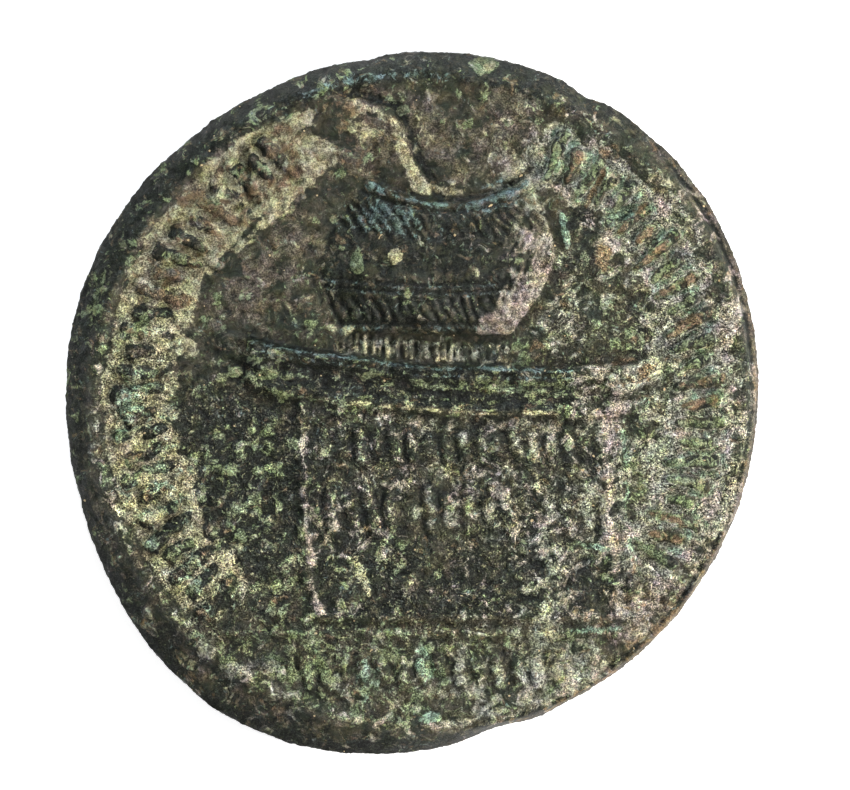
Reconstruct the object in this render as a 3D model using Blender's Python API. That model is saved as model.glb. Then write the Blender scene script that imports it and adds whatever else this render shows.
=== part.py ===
"""A worn Roman bronze coin, struck off centre on one thick cast flan and lying on its back.

Metres, +Z up out of the face that shows and +Y towards the top of its design. The origin is the
middle of the flan's box, on the surface that the coin lies on.

The face carries an altar with a moulded slab, a barrel-shaped prize crown standing on it and a
plume above, inside an arc of short raised strokes up each side. The back is plainer: a wreath round
a bare field, inside a worn ring of strokes.
"""

import math

import bmesh
import bpy
from mathutils import Matrix, Vector

MM = 0.001

# Flan, the thick disc of bronze
FLAN_RADIUS = 14.03 * MM
BORDER_CREST = 2.4 * MM  # height of the border's crest over the surface that the coin lies on
FLAN_SIDES = 96
EDGE_LOW = 0.75 * MM
EDGE_HIGH = 1.4 * MM
SHOULDER_SHARE = 0.45  # how far the shoulder lies from the edge towards the border
SHOULDER_DROP = 0.42 * MM  # how far the shoulder lies under the border's foot

# The outline bulges in lobes: how many, how far and in which direction, in degrees
OUTLINE_LOBES = (
    (2, 0.33 * MM, 51.5),
    (3, 0.12 * MM, 13.4),
    (4, 0.13 * MM, -28.0),
    (5, 0.055 * MM, 25.0),
)
# Flats and nicks knocked into the edge: direction in degrees, depth, half width in degrees
OUTLINE_NICKS = (
    (60.0, 0.18 * MM, 3.6),
    (98.0, 0.09 * MM, 5.0),
    (284.0, 0.24 * MM, 4.4),
    (330.0, 0.05 * MM, 4.0),
)

# The die struck off centre, and the border it left
DIE_X = 0.3 * MM
DIE_Y = 0.06 * MM
BORDER_INSET = 1.03 * MM  # mean distance from the flan's edge to the border's crest
BORDER_RADIUS = FLAN_RADIUS - BORDER_INSET
BORDER_HALF_WIDTH = 0.26 * MM
FIELD_DEPTH = 0.22 * MM  # the field lies this far under the border's crest
FIELD = BORDER_CREST - FIELD_DEPTH

# How far each relief is rooted in the flan
ROOT = 0.4 * MM

# Altar: its slab sags between two upturned horns
SLAB_LEFT = -6.6 * MM
SLAB_RIGHT = 8.9 * MM
SLAB_LOWEST_X = 4.6 * MM
SLAB_LOWEST_Y = 0.42 * MM
SLAB_SAG = 1.15 * MM  # rise of the slab's left end over its lowest place
SLAB_HALF_HEIGHT = 0.95 * MM
SLAB_CELLS = 14
# Moulding of the slab from its lower lip to its upper fillet: share of the half height, rise
SLAB_PROFILE = (
    (-1.0, 0.24 * MM),
    (-0.82, 0.4 * MM),
    (-0.62, 0.36 * MM),
    (-0.45, 0.22 * MM),
    (0.3, 0.26 * MM),
    (0.5, 0.46 * MM),
    (0.86, 0.52 * MM),
    (1.0, 0.34 * MM),
)
HORN_LENGTH = 2.3 * MM
HORN_WIDTH = 0.95 * MM
HORN_RISE = 0.5 * MM
HORN_LEAN = 24.0

# Altar: the panel under the slab, a little wider at its foot
PANEL_LEFT = -4.5 * MM
PANEL_RIGHT = 8.35 * MM
PANEL_FOOT = -8.6 * MM
PANEL_SPREAD = 0.7 * MM  # the foot lies this far to the right of the top
PANEL_RISE = 0.1 * MM
PILLAR_WIDTH = 0.42 * MM
PILLAR_RISE = 0.3 * MM
BASE_WIDTH = 0.4 * MM
BASE_RISE = 0.22 * MM
GROUND_DROP = 0.6 * MM  # the ground line lies this far under the altar's foot
GROUND_CLEARANCE = 0.75 * MM  # its ends stay this far inside the border's crest
GROUND_WIDTH = 0.3 * MM

# Prize crown, a barrel with a sagging rim
CROWN_FOOT = 2.75 * MM
CROWN_HEIGHT = 6.25 * MM
CROWN_RIM_SAG = 0.95 * MM
CROWN_FOOT_X = 0.62 * MM
CROWN_TOP_X = 1.46 * MM
CROWN_FOOT_HALF = 3.3 * MM
CROWN_TOP_HALF = 3.15 * MM
CROWN_BULGE = 1.4 * MM
CROWN_RISE = 0.68 * MM
CROWN_SIDE = 0.2 * MM  # the steep side of the crown's outline
CROWN_CELLS_ACROSS = 16
CROWN_CELLS_UP = 10
LIP_WIDTH = 0.42 * MM
BAND_WIDTH = 0.3 * MM
BAND_RISE = 0.12 * MM
BAND_CELLS = 10
# Bands round the crown: how far up it they run, as a share of its height
BAND_SHARES = (0.04, 0.31, 0.97)
# Hatched bands: share of the height, number of ticks, length, lean in degrees
TICK_ROWS = (
    (0.175, 15, 1.15 * MM, 22.0),
    (0.8, 13, 1.2 * MM, 26.0),
)
TICK_WIDTH = 0.2 * MM
TICK_RISE = 0.1 * MM
TICK_SPAN = 0.8  # share of the crown's width that a row of ticks takes

# Fringe of short uprights between the crown and the slab
FRINGE_COUNT = 15
FRINGE_LENGTH = 0.8 * MM
FRINGE_WIDTH = 0.24 * MM
FRINGE_RISE = 0.24 * MM
FRINGE_GAP = 0.12 * MM

# Plume, a low crest that curls up and left from the crown's rim
# Its course: place in X, and share of the way up from the rim to the border
PLUME_CURL = (
    (0.55 * MM, -0.06),
    (-0.05 * MM, 0.19),
    (-0.35 * MM, 0.44),
    (-0.85 * MM, 0.65),
    (-2.3 * MM, 0.76),
)
PLUME_WIDTH = 0.62 * MM
PLUME_RISE = 0.24 * MM

# Arcs of short raised strokes up each side of the face
ARC_GAP = 1.76 * MM  # from the border's crest to the middle of the strokes
ARC_RADIUS = BORDER_RADIUS - ARC_GAP
STROKE_LENGTH = 2.2 * MM
STROKE_WIDTH = 0.44 * MM
STROKE_RISE = 0.26 * MM
# Each stroke's length as a share, and its lean in degrees, repeated along a row
STROKE_RHYTHM = ((1.0, 7.0), (0.72, 13.0), (0.93, 4.0), (0.6, 9.0), (1.0, 14.0), (0.82, 5.0), (0.5, 10.0))
# Each arc: first and last direction in degrees, and how many strokes
STROKE_ARCS = ((226.0, 118.0, 26), (63.0, -35.0, 24))
# Rows on the panel and under it: first x, last x, middle y, stroke length, strokes, rise
STROKE_ROWS = (
    (-3.8 * MM, 7.3 * MM, -1.72 * MM, 1.65 * MM, 16, 0.18 * MM),
    (-3.6 * MM, 7.4 * MM, -4.35 * MM, 2.1 * MM, 14, 0.18 * MM),
    (-4.6 * MM, 6.2 * MM, -10.75 * MM, 1.5 * MM, 14, 0.18 * MM),
)

# Back of the coin
BACK_RECESS = 0.25 * MM
BACK_LAND_WIDTH = 1.68 * MM
BACK_LAND_INNER = FLAN_RADIUS - BACK_LAND_WIDTH
BACK_LAND_SLOPE = 0.3 * MM
BACK_LAND_CHAMFER = 0.55 * MM
BACK_STROKE_GAP = 1.45 * MM
BACK_STROKE_RADIUS = BACK_LAND_INNER - BACK_STROKE_GAP
BACK_STROKE_COUNT = 34
BACK_STROKE_LENGTH = 1.5 * MM
BACK_RISE = 0.18 * MM
WREATH_RADIUS = 7.4 * MM
WREATH_GAP = 16.0  # half opening at the top of the wreath, in degrees
WREATH_PAIRS = 9
LEAF_LENGTH = 2.0 * MM
LEAF_WIDTH = 0.95 * MM
LEAF_SPLAY = 24.0
LEAF_REACH = 0.68 * MM  # from the branch to the middle of a leaf
TIE_RADIUS = 0.8 * MM

SMOOTH_LIMIT = 32.0  # edges that bend more than this, in degrees, look sharp
TAPER = 0.62  # the top of a stroke as a share of its foot
BEVEL_SHARE = 0.22  # bevel of a stroke's corners as a share of its width

# Colour of the patinated metal as a whole
BRONZE_COLOUR = (0.1, 0.103, 0.073, 1.0)
BRONZE_ROUGHNESS = 0.62
BRONZE_METALLIC = 0.35


def clear_scene():
    for item in list(bpy.data.objects):
        bpy.data.objects.remove(item, do_unlink=True)


def patinated_bronze():
    material = bpy.data.materials.new("patinated_bronze")
    material.use_nodes = True
    shader = material.node_tree.nodes["Principled BSDF"]
    shader.inputs["Base Color"].default_value = BRONZE_COLOUR
    shader.inputs["Roughness"].default_value = BRONZE_ROUGHNESS
    shader.inputs["Metallic"].default_value = BRONZE_METALLIC
    return material


def finish_mesh(bm, name):
    """Turns a bmesh into an object with its faces pointing out."""
    bmesh.ops.recalc_face_normals(bm, faces=bm.faces)
    mesh = bpy.data.meshes.new(name)
    bm.to_mesh(mesh)
    bm.free()
    mesh.shade_smooth()
    mesh.set_sharp_from_angle(angle=math.radians(SMOOTH_LIMIT))
    item = bpy.data.objects.new(name, mesh)
    bpy.context.collection.objects.link(item)
    return item


def raw_outline_radius(direction):
    radius = FLAN_RADIUS
    for lobes, rise, towards in OUTLINE_LOBES:
        radius += rise * math.cos(lobes * (direction - math.radians(towards)))
    for towards, depth, half_width in OUTLINE_NICKS:
        apart = math.remainder(direction - math.radians(towards), math.tau)
        radius -= depth * math.exp(-((apart / math.radians(half_width)) ** 2))
    return radius


def polar(radius, direction):
    return Vector((radius * math.cos(direction), radius * math.sin(direction), 0))


FLAN_DIRECTIONS = [math.tau * i / FLAN_SIDES for i in range(FLAN_SIDES)]


def outline_middle():
    """The middle of the outline's box, which becomes the origin."""
    points = [polar(raw_outline_radius(a), a) for a in FLAN_DIRECTIONS]
    xs = [p.x for p in points]
    ys = [p.y for p in points]
    return Vector(((min(xs) + max(xs)) / 2, (min(ys) + max(ys)) / 2, 0))


OUTLINE_SHIFT = -outline_middle()
DIE_CENTRE = Vector((DIE_X, DIE_Y, 0))


def at_height(point, height):
    return Vector((point.x, point.y, height))


def flan_rings():
    """The loops of the flan from the back's field round the edge to the face's field."""
    edge = [OUTLINE_SHIFT + polar(raw_outline_radius(a), a) for a in FLAN_DIRECTIONS]

    def circle(radius, height):
        return [at_height(DIE_CENTRE + polar(radius, a), height) for a in FLAN_DIRECTIONS]

    def inset(amount, height):
        return [at_height(p - p.normalized() * amount, height) for p in edge]

    border_foot = circle(BORDER_RADIUS + BORDER_HALF_WIDTH, FIELD)
    shoulder = [
        at_height(p.lerp(q, SHOULDER_SHARE), FIELD - SHOULDER_DROP) for p, q in zip(edge, border_foot)
    ]
    back_foot = BACK_LAND_INNER - BACK_LAND_SLOPE
    back_field = [at_height(polar(back_foot, a), BACK_RECESS) for a in FLAN_DIRECTIONS]
    back_land = [at_height(polar(BACK_LAND_INNER, a), 0) for a in FLAN_DIRECTIONS]
    return [
        back_field,
        back_land,
        inset(BACK_LAND_CHAMFER, 0),
        inset(0, EDGE_LOW),
        inset(0, EDGE_HIGH),
        shoulder,
        border_foot,
        circle(BORDER_RADIUS, BORDER_CREST),
        circle(BORDER_RADIUS - BORDER_HALF_WIDTH, FIELD),
    ]


def add_loop(bm, points):
    """Adds a closed loop of edges through the points, and returns its edges."""
    loop = bmesh.ops.create_circle(bm, segments=len(points), radius=FLAN_RADIUS)["verts"]
    for vertex, place in zip(loop, points):
        vertex.co = place
    return list({edge for vertex in loop for edge in vertex.link_edges})


def make_flan():
    """The bare flan: its loops bridged one to the next, and closed by two flat fields."""
    bm = bmesh.new()
    loops = [add_loop(bm, ring) for ring in flan_rings()]
    for lower, upper in zip(loops, loops[1:]):
        bmesh.ops.bridge_loops(bm, edges=lower + upper)
    for end in (loops[0], loops[-1]):
        bmesh.ops.contextual_create(bm, geom=end)
    return finish_mesh(bm, "coin")


def add_bar(bm, middle, direction, length, width, rise, base=FIELD, side=1):
    """Adds one raised bar, narrower at its top, and returns its four upright edges.

    direction is the way it runs, in radians, rise its height over base, and side is 1 on the face
    and -1 on the back.
    """
    made = bmesh.ops.create_cube(bm, size=1.0)["verts"]
    for vertex in made:
        top = vertex.co.z > 0
        share = TAPER if top else 1.0
        vertex.co.x *= length - (1.0 - share) * width
        vertex.co.y *= width * share
        vertex.co.z = rise if top else -ROOT
    turn = Matrix.Rotation(direction, 4, "Z") @ Matrix.Diagonal((1, 1, side, 1))
    place = Matrix.Translation(at_height(middle, base)) @ turn
    bmesh.ops.transform(bm, matrix=place, verts=made)
    return [e for e in {e for v in made for e in v.link_edges} if (e.verts[0].co.z - e.verts[1].co.z) != 0]


def add_stroke(bm, middle, direction, length, width, rise):
    """Adds one raised bar of the face with its four corners cut, as wear leaves them."""
    corners = add_bar(bm, middle, direction, length, width, rise)
    bmesh.ops.bevel(bm, geom=corners, offset=width * BEVEL_SHARE, segments=1, affect="EDGES", profile=0.5)


def make_patch(name, place_of, across, up, root):
    """A raised patch: a grid laid by place_of(u, v), both from -1 to 1, and closed down to root."""
    bm = bmesh.new()
    bmesh.ops.create_grid(bm, x_segments=across, y_segments=up, size=1.0)
    for vertex in bm.verts:
        vertex.co = place_of(vertex.co.x, vertex.co.y)
    rim = [edge for edge in bm.edges if edge.is_boundary]
    wall = bmesh.ops.extrude_edge_only(bm, edges=rim)["geom"]
    for item in wall:
        if isinstance(item, bmesh.types.BMVert):
            item.co.z = root
    foot = [item for item in wall if isinstance(item, bmesh.types.BMEdge)]
    bmesh.ops.contextual_create(bm, geom=foot)
    return finish_mesh(bm, name)


def as_relief(item):
    """Marks a piece that is only joined to the flan, and isn't a part by itself."""
    item.hide_render = True
    item.display_type = "WIRE"
    return item


def join_to(coin, relief):
    joined = coin.modifiers.new(relief.name, "BOOLEAN")
    joined.operation = "UNION"
    joined.object = as_relief(relief)


def slab_middle_y(x):
    """The sagging middle line of the altar's slab."""
    share = (x - SLAB_LOWEST_X) / (SLAB_LEFT - SLAB_LOWEST_X)
    return SLAB_LOWEST_Y + SLAB_SAG * share * share


def slab_place(u, v):
    row = round((v + 1) / 2 * (len(SLAB_PROFILE) - 1))
    across, rise = SLAB_PROFILE[row]
    x = SLAB_LEFT + (SLAB_RIGHT - SLAB_LEFT) * (u + 1) / 2
    return Vector((x, slab_middle_y(x) + across * SLAB_HALF_HEIGHT, FIELD + rise))


def make_slab():
    return make_patch("altar_slab", slab_place, SLAB_CELLS, len(SLAB_PROFILE) - 1, FIELD - ROOT)


def make_horns():
    """The upturned ends of the slab."""
    bm = bmesh.new()
    for x, lean in ((SLAB_LEFT, 180 - HORN_LEAN), (SLAB_RIGHT, HORN_LEAN)):
        place = Vector((x, slab_middle_y(x) + SLAB_HALF_HEIGHT / 2, 0))
        add_stroke(bm, place, math.radians(lean), HORN_LENGTH, HORN_WIDTH, HORN_RISE)
    return finish_mesh(bm, "altar_horns")


def panel_top_y(x):
    return slab_middle_y(x) - SLAB_HALF_HEIGHT / 2


def panel_x(share, down):
    """A place across the panel, from 0 at its left to 1, at a share of the way down to its foot."""
    return PANEL_LEFT + (PANEL_RIGHT - PANEL_LEFT) * share + PANEL_SPREAD * down * down


def panel_place(u, v):
    share = (u + 1) / 2
    down = (1 - v) / 2
    x = panel_x(share, down)
    top = panel_top_y(x)
    return Vector((x, top + (PANEL_FOOT - top) * down, FIELD + PANEL_RISE))


def make_panel():
    return make_patch("altar_panel", panel_place, 6, 6, FIELD - ROOT)


def make_pillars():
    """The two upright edges of the panel, each in two lengths that follow its spread."""
    bm = bmesh.new()
    for share in (0.0, 1.0):
        for upper, lower in ((0.12, 0.54), (0.56, 0.98)):
            top = Vector((panel_x(share, upper), PANEL_FOOT * upper, 0))
            foot = Vector((panel_x(share, lower), PANEL_FOOT * lower, 0))
            run = top - foot
            turn = math.atan2(run.y, run.x)
            add_stroke(bm, (top + foot) / 2, turn, run.length, PILLAR_WIDTH, PILLAR_RISE)
    return finish_mesh(bm, "altar_pillars")


def make_base():
    """The altar's foot, and the ground line under it, which is a chord of the border."""
    bm = bmesh.new()
    left = panel_x(0, 1)
    right = panel_x(1, 1)
    foot = Vector(((left + right) / 2, PANEL_FOOT, 0))
    add_stroke(bm, foot, 0.0, right - left, BASE_WIDTH, BASE_RISE)
    ground = PANEL_FOOT - GROUND_DROP
    reach = BORDER_RADIUS - GROUND_CLEARANCE
    half = math.sqrt(reach**2 - (ground - DIE_Y) ** 2)
    add_stroke(bm, Vector((DIE_X, ground, 0)), 0.0, 2 * half, GROUND_WIDTH, BASE_RISE)
    return finish_mesh(bm, "altar_base")


def crown_half_width(share):
    """Half the crown's width at a share of its height."""
    straight = CROWN_FOOT_HALF + (CROWN_TOP_HALF - CROWN_FOOT_HALF) * share
    return straight + CROWN_BULGE * math.sin(math.pi * share)


def crown_rise(u, share):
    """Height of the crown's surface over the field."""
    dome = math.sqrt(max(0.0, 1 - u**2)) * (1 - (2 * share - 1) ** 6)
    return CROWN_SIDE + (CROWN_RISE - CROWN_SIDE) * dome


def crown_point(u, share):
    """A place on the crown's front: u from -1 to 1 across, share from 0 to 1 up."""
    middle = CROWN_FOOT_X + (CROWN_TOP_X - CROWN_FOOT_X) * share
    sag = CROWN_RIM_SAG * (1 - u * u) * share
    x = middle + u * crown_half_width(share)
    y = CROWN_FOOT + share * CROWN_HEIGHT - sag
    return Vector((x, y, FIELD + crown_rise(u, share)))


def make_crown():
    def place(u, v):
        return crown_point(u, (v + 1) / 2)

    return make_patch("prize_crown", place, CROWN_CELLS_ACROSS, CROWN_CELLS_UP, FIELD - ROOT)


def make_crown_bands():
    """Raised hoops round the crown: its foot, its waist and the lip of its rim."""
    hoops = []
    for share in BAND_SHARES:
        width = LIP_WIDTH if share == max(BAND_SHARES) else BAND_WIDTH

        def place(u, v, share=share, width=width):
            point = crown_point(u * 0.97, share)
            point.y += v * width / 2
            point.z += BAND_RISE * (1 - 0.5 * abs(v))
            return point

        hoops.append(make_patch(f"crown_hoop_{len(hoops)}", place, BAND_CELLS, 2, FIELD - ROOT / 2))
    return hoops


def make_crown_ticks():
    """Slanting ticks that hatch the crown's two bands."""
    bm = bmesh.new()
    for share, count, length, lean in TICK_ROWS:
        for i in range(count):
            u = TICK_SPAN * (2 * (i + 0.5) / count - 1)
            middle = crown_point(u, share)
            base = middle.z - ROOT / 4
            direction = math.radians(90 + lean)
            add_bar(bm, middle, direction, length, TICK_WIDTH, TICK_RISE + ROOT / 4, base=base)
    return finish_mesh(bm, "crown_ticks")


def make_fringe():
    """Short uprights that stand on the slab, under the crown."""
    bm = bmesh.new()
    for i in range(FRINGE_COUNT):
        share = 2 * (i + 0.5) / FRINGE_COUNT - 1
        x = CROWN_FOOT_X + share * CROWN_FOOT_HALF
        foot = slab_middle_y(x) + SLAB_HALF_HEIGHT + FRINGE_GAP
        place = Vector((x, foot + FRINGE_LENGTH / 2, 0))
        add_bar(bm, place, math.radians(90), FRINGE_LENGTH, FRINGE_WIDTH, FRINGE_RISE)
    return finish_mesh(bm, "crown_fringe")


def smooth_line(points, share):
    """A place on the smooth curve through the points, share from 0 to 1."""
    spans = len(points) - 1
    span = min(int(share * spans), spans - 1)
    t = share * spans - span
    before, start, end, after = (points[min(max(span + k, 0), spans)] for k in (-1, 0, 1, 2))
    return 0.5 * (
        2 * start
        + (end - before) * t
        + (2 * before - 5 * start + 4 * end - after) * t**2
        + (3 * start - before - 3 * end + after) * t**3
    )


def make_plume():
    rim = CROWN_FOOT + CROWN_HEIGHT
    points = [Vector((x, rim + (DIE_Y + BORDER_RADIUS - rim) * up, 0)) for x, up in PLUME_CURL]

    def place(u, v):
        share = (v + 1) / 2
        here = smooth_line(points, share)
        ahead = smooth_line(points, min(share + 0.02, 1.0))
        behind = smooth_line(points, max(share - 0.02, 0.0))
        run = (ahead - behind).normalized()
        across = Vector((-run.y, run.x, 0))
        width = PLUME_WIDTH * (1 - 0.55 * share)
        return at_height(here + across * u * width / 2, FIELD + PLUME_RISE * (1 - 0.6 * abs(u)))

    return make_patch("plume", place, 2, 12, FIELD - ROOT)


def rhythm(index):
    return STROKE_RHYTHM[index % len(STROKE_RHYTHM)]


def arc_places(first, last, count, radius, length):
    """Where the strokes of an arc round the die's centre stand: middle, direction and length."""
    for i in range(count):
        share, lean = rhythm(i)
        direction = math.radians(first + (last - first) * (i + 0.5) / count)
        yield DIE_CENTRE + polar(radius, direction), direction + math.radians(lean), length * share


def make_arc_strokes():
    """The strokes of the two arcs."""
    bm = bmesh.new()
    for first, last, count in STROKE_ARCS:
        for middle, turn, length in arc_places(first, last, count, ARC_RADIUS, STROKE_LENGTH):
            add_stroke(bm, middle, turn, length, STROKE_WIDTH, STROKE_RISE)
    return finish_mesh(bm, "arc_strokes")


def make_row_strokes():
    """The rows of strokes on the panel and under the ground line."""
    bm = bmesh.new()
    for row, (first, last, y, length, count, rise) in enumerate(STROKE_ROWS):
        for i in range(count):
            share, lean = rhythm(i + 2 * row)
            place = Vector((first + (last - first) * (i + 0.5) / count, y, 0))
            add_stroke(bm, place, math.radians(90 + lean), length * share, STROKE_WIDTH, rise + PANEL_RISE)
    return finish_mesh(bm, "row_strokes")


def make_back_strokes():
    """A worn ring of strokes inside the back's land."""
    bm = bmesh.new()
    ring = arc_places(0, 360, BACK_STROKE_COUNT, BACK_STROKE_RADIUS, BACK_STROKE_LENGTH)
    for middle, turn, length in ring:
        add_bar(bm, middle, turn, length, STROKE_WIDTH, BACK_RISE, base=BACK_RECESS, side=-1)
    return finish_mesh(bm, "back_strokes")


def add_bump(bm, middle, direction, length, width):
    """Adds one low oval bump to the back, such as a leaf."""
    size = Matrix.Diagonal((length / 2, width / 2, BACK_RISE, 1))
    place = Matrix.Translation(at_height(middle, BACK_RECESS)) @ Matrix.Rotation(direction, 4, "Z") @ size
    bmesh.ops.create_uvsphere(bm, u_segments=8, v_segments=4, radius=1.0, matrix=place)


def make_wreath():
    """Two branches of leaves that rise from a tie at the foot and nearly meet at the top."""
    bm = bmesh.new()
    sweep = 180 - WREATH_GAP
    for side in (-1, 1):
        for pair in range(WREATH_PAIRS):
            along = (pair + 0.9) / (WREATH_PAIRS + 0.4)
            direction = math.radians(-90 + side * sweep * along)
            growth = direction + side * math.radians(90)
            for splay in (-1, 1):
                turn = growth + splay * math.radians(LEAF_SPLAY)
                reach = WREATH_RADIUS - side * splay * LEAF_REACH
                add_bump(bm, polar(reach, direction), turn, LEAF_LENGTH, LEAF_WIDTH)
    add_bump(bm, polar(WREATH_RADIUS, math.radians(-90)), 0.0, TIE_RADIUS * 2, TIE_RADIUS * 2)
    return finish_mesh(bm, "wreath")


def main():
    clear_scene()
    coin = make_flan()
    coin.data.materials.append(patinated_bronze())
    reliefs = [make_panel(), make_pillars(), make_base(), make_slab(), make_horns()]
    reliefs += [make_crown(), *make_crown_bands(), make_crown_ticks(), make_fringe(), make_plume()]
    reliefs += [make_arc_strokes(), make_row_strokes(), make_back_strokes(), make_wreath()]
    for relief in reliefs:
        join_to(coin, relief)


main()
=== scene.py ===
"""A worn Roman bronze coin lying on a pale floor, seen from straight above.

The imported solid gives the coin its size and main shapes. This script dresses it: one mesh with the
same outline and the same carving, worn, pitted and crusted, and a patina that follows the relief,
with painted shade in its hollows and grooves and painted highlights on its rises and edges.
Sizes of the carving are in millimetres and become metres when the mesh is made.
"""

from __future__ import annotations

import logging
import math
from dataclasses import dataclass, field
from enum import Enum
from typing import Callable, Iterable, Union

import bmesh
import bpy
import numpy as np
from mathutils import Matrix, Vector


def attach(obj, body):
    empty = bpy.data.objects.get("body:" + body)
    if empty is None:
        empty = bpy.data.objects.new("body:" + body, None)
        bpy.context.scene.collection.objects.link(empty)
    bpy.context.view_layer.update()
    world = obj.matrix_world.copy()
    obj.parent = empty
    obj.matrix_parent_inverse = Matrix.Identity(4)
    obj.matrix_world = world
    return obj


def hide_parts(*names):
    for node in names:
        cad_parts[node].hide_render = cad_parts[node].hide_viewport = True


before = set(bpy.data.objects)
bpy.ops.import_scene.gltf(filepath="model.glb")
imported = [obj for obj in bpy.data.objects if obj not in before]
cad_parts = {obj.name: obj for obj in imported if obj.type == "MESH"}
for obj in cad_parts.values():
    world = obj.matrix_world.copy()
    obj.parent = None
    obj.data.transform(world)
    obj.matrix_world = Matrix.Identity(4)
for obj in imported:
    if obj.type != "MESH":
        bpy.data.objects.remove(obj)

LOG = logging.getLogger("coin")
MM = 0.001

Array = np.ndarray
Amount = Union[np.ndarray, float]
Part = tuple[slice, slice]
WHOLE: Part = (slice(None), slice(None))


# Numbers over a surface


def smooth(low: float, high: float, value: Array) -> Array:
    """Rises from 0 at low to 1 at high, level at both ends.

    Args:
        low: Where the rise starts.
        high: Where it ends; below low it falls instead.
        value: The numbers to read.

    Returns:
        One share for each number.
    """
    share = np.clip((value - low) / (high - low), 0.0, 1.0)
    return share * share * (3.0 - 2.0 * share)


def bell(value: Array, width: float) -> Array:
    """A hump of height 1 at 0 that has died away at about twice the width."""
    return np.exp(-((value / width) ** 2))


def ripple(x: Array, y: Array, size: float, seed: int) -> Array:
    """Gradient noise of one size.

    Args:
        x: Places in X.
        y: Places in Y.
        size: Distance between two waves.
        seed: Number that fixes the pattern.

    Returns:
        Numbers around 0, mostly within half of 1.
    """
    across = x / size
    up = y / size
    column = np.floor(across).astype(int)
    row = np.floor(up).astype(int)
    first_column = int(column.min())
    first_row = int(row.min())
    shape = (int(row.max()) - first_row + 2, int(column.max()) - first_column + 2)
    turn = np.random.default_rng(seed).uniform(0.0, math.tau, shape)
    slope_x = np.cos(turn)
    slope_y = np.sin(turn)
    fx = across - column
    fy = up - row
    column = column - first_column
    row = row - first_row
    ease_x = fx * fx * fx * (fx * (fx * 6.0 - 15.0) + 10.0)
    ease_y = fy * fy * fy * (fy * (fy * 6.0 - 15.0) + 10.0)

    def corner(i: int, j: int) -> Array:
        """The pull of one corner of the cell."""
        return slope_x[row + j, column + i] * (fx - i) + slope_y[row + j, column + i] * (fy - j)

    low = corner(0, 0) * (1 - ease_x) + corner(1, 0) * ease_x
    high = corner(0, 1) * (1 - ease_x) + corner(1, 1) * ease_x
    return (low * (1 - ease_y) + high * ease_y) * 1.4


def cloud(x: Array, y: Array, size: float, seed: int, octaves: int, keep: float = 0.55) -> Array:
    """Noise of several sizes, each half the last.

    Args:
        x: Places in X.
        y: Places in Y.
        size: The largest size.
        seed: Number that fixes the pattern.
        octaves: How many sizes.
        keep: Strength of each size as a share of the last.

    Returns:
        Numbers around 0, mostly within half of 1.
    """
    total = np.zeros_like(x)
    strength = 1.0
    weight = 0.0
    for octave in range(octaves):
        total += strength * ripple(x, y, size / 2**octave, seed + 31 * octave)
        weight += strength * strength
        strength *= keep
    return total / math.sqrt(weight)


def grains(x: Array, y: Array, size: float, seed: int) -> tuple[Array, Array]:
    """A crust of lumps that touch, one to a cell.

    Args:
        x: Places in X.
        y: Places in Y.
        size: Width of a cell.
        seed: Number that fixes the pattern.

    Returns:
        How far inside its lump each place lies, 0 at the seam, and that lump's own number from 0 to 1.
    """
    across = (x + 0.3 * size * cloud(x, y, 0.9 * size, seed + 7, 3)) / size
    up = (y + 0.3 * size * cloud(x, y, 0.9 * size, seed + 8, 3)) / size
    column = np.floor(across).astype(int)
    row = np.floor(up).astype(int)
    first_column = int(column.min()) - 1
    first_row = int(row.min()) - 1
    shape = (int(row.max()) - first_row + 2, int(column.max()) - first_column + 2)
    rng = np.random.default_rng(seed)
    off_x = rng.uniform(0.1, 0.9, shape)
    off_y = rng.uniform(0.1, 0.9, shape)
    tone = rng.uniform(0.0, 1.0, shape)
    best = np.full(x.shape, 9.0)
    second = np.full(x.shape, 9.0)
    own = np.zeros(x.shape)
    for j in (-1, 0, 1):
        for i in (-1, 0, 1):
            c = column + i - first_column
            r = row + j - first_row
            gap = np.hypot(column + i + off_x[r, c] - across, row + j + off_y[r, c] - up)
            nearer = gap < best
            second = np.where(nearer, best, np.minimum(second, gap))
            best = np.where(nearer, gap, best)
            own = np.where(nearer, tone[r, c], own)
    return second - best, own


class Layer(Enum):
    """The coats that lie over the bare dark patina."""

    SAND = "sand"
    ASH = "ash"
    CRUMB = "crumb"
    VERDIGRIS = "verdigris"
    RUST = "rust"
    # pinkish patina, also painted warm light on the right-facing border and the crown's right flank
    BLUSH = "blush"
    # near-black patina, also painted shade in grooves, crevices and on shaded sides
    SOOT = "soot"
    # painted bluish highlight where the cool lamp catches up-facing edges
    STEEL = "steel"
    WARM = "warm"
    # depth under the surroundings: painted shade in hollows, painted highlight on rises
    HOLLOW = "hollow"
    # strength of the specks and of the grain's painted micro-shade
    GRIT = "grit"


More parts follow.
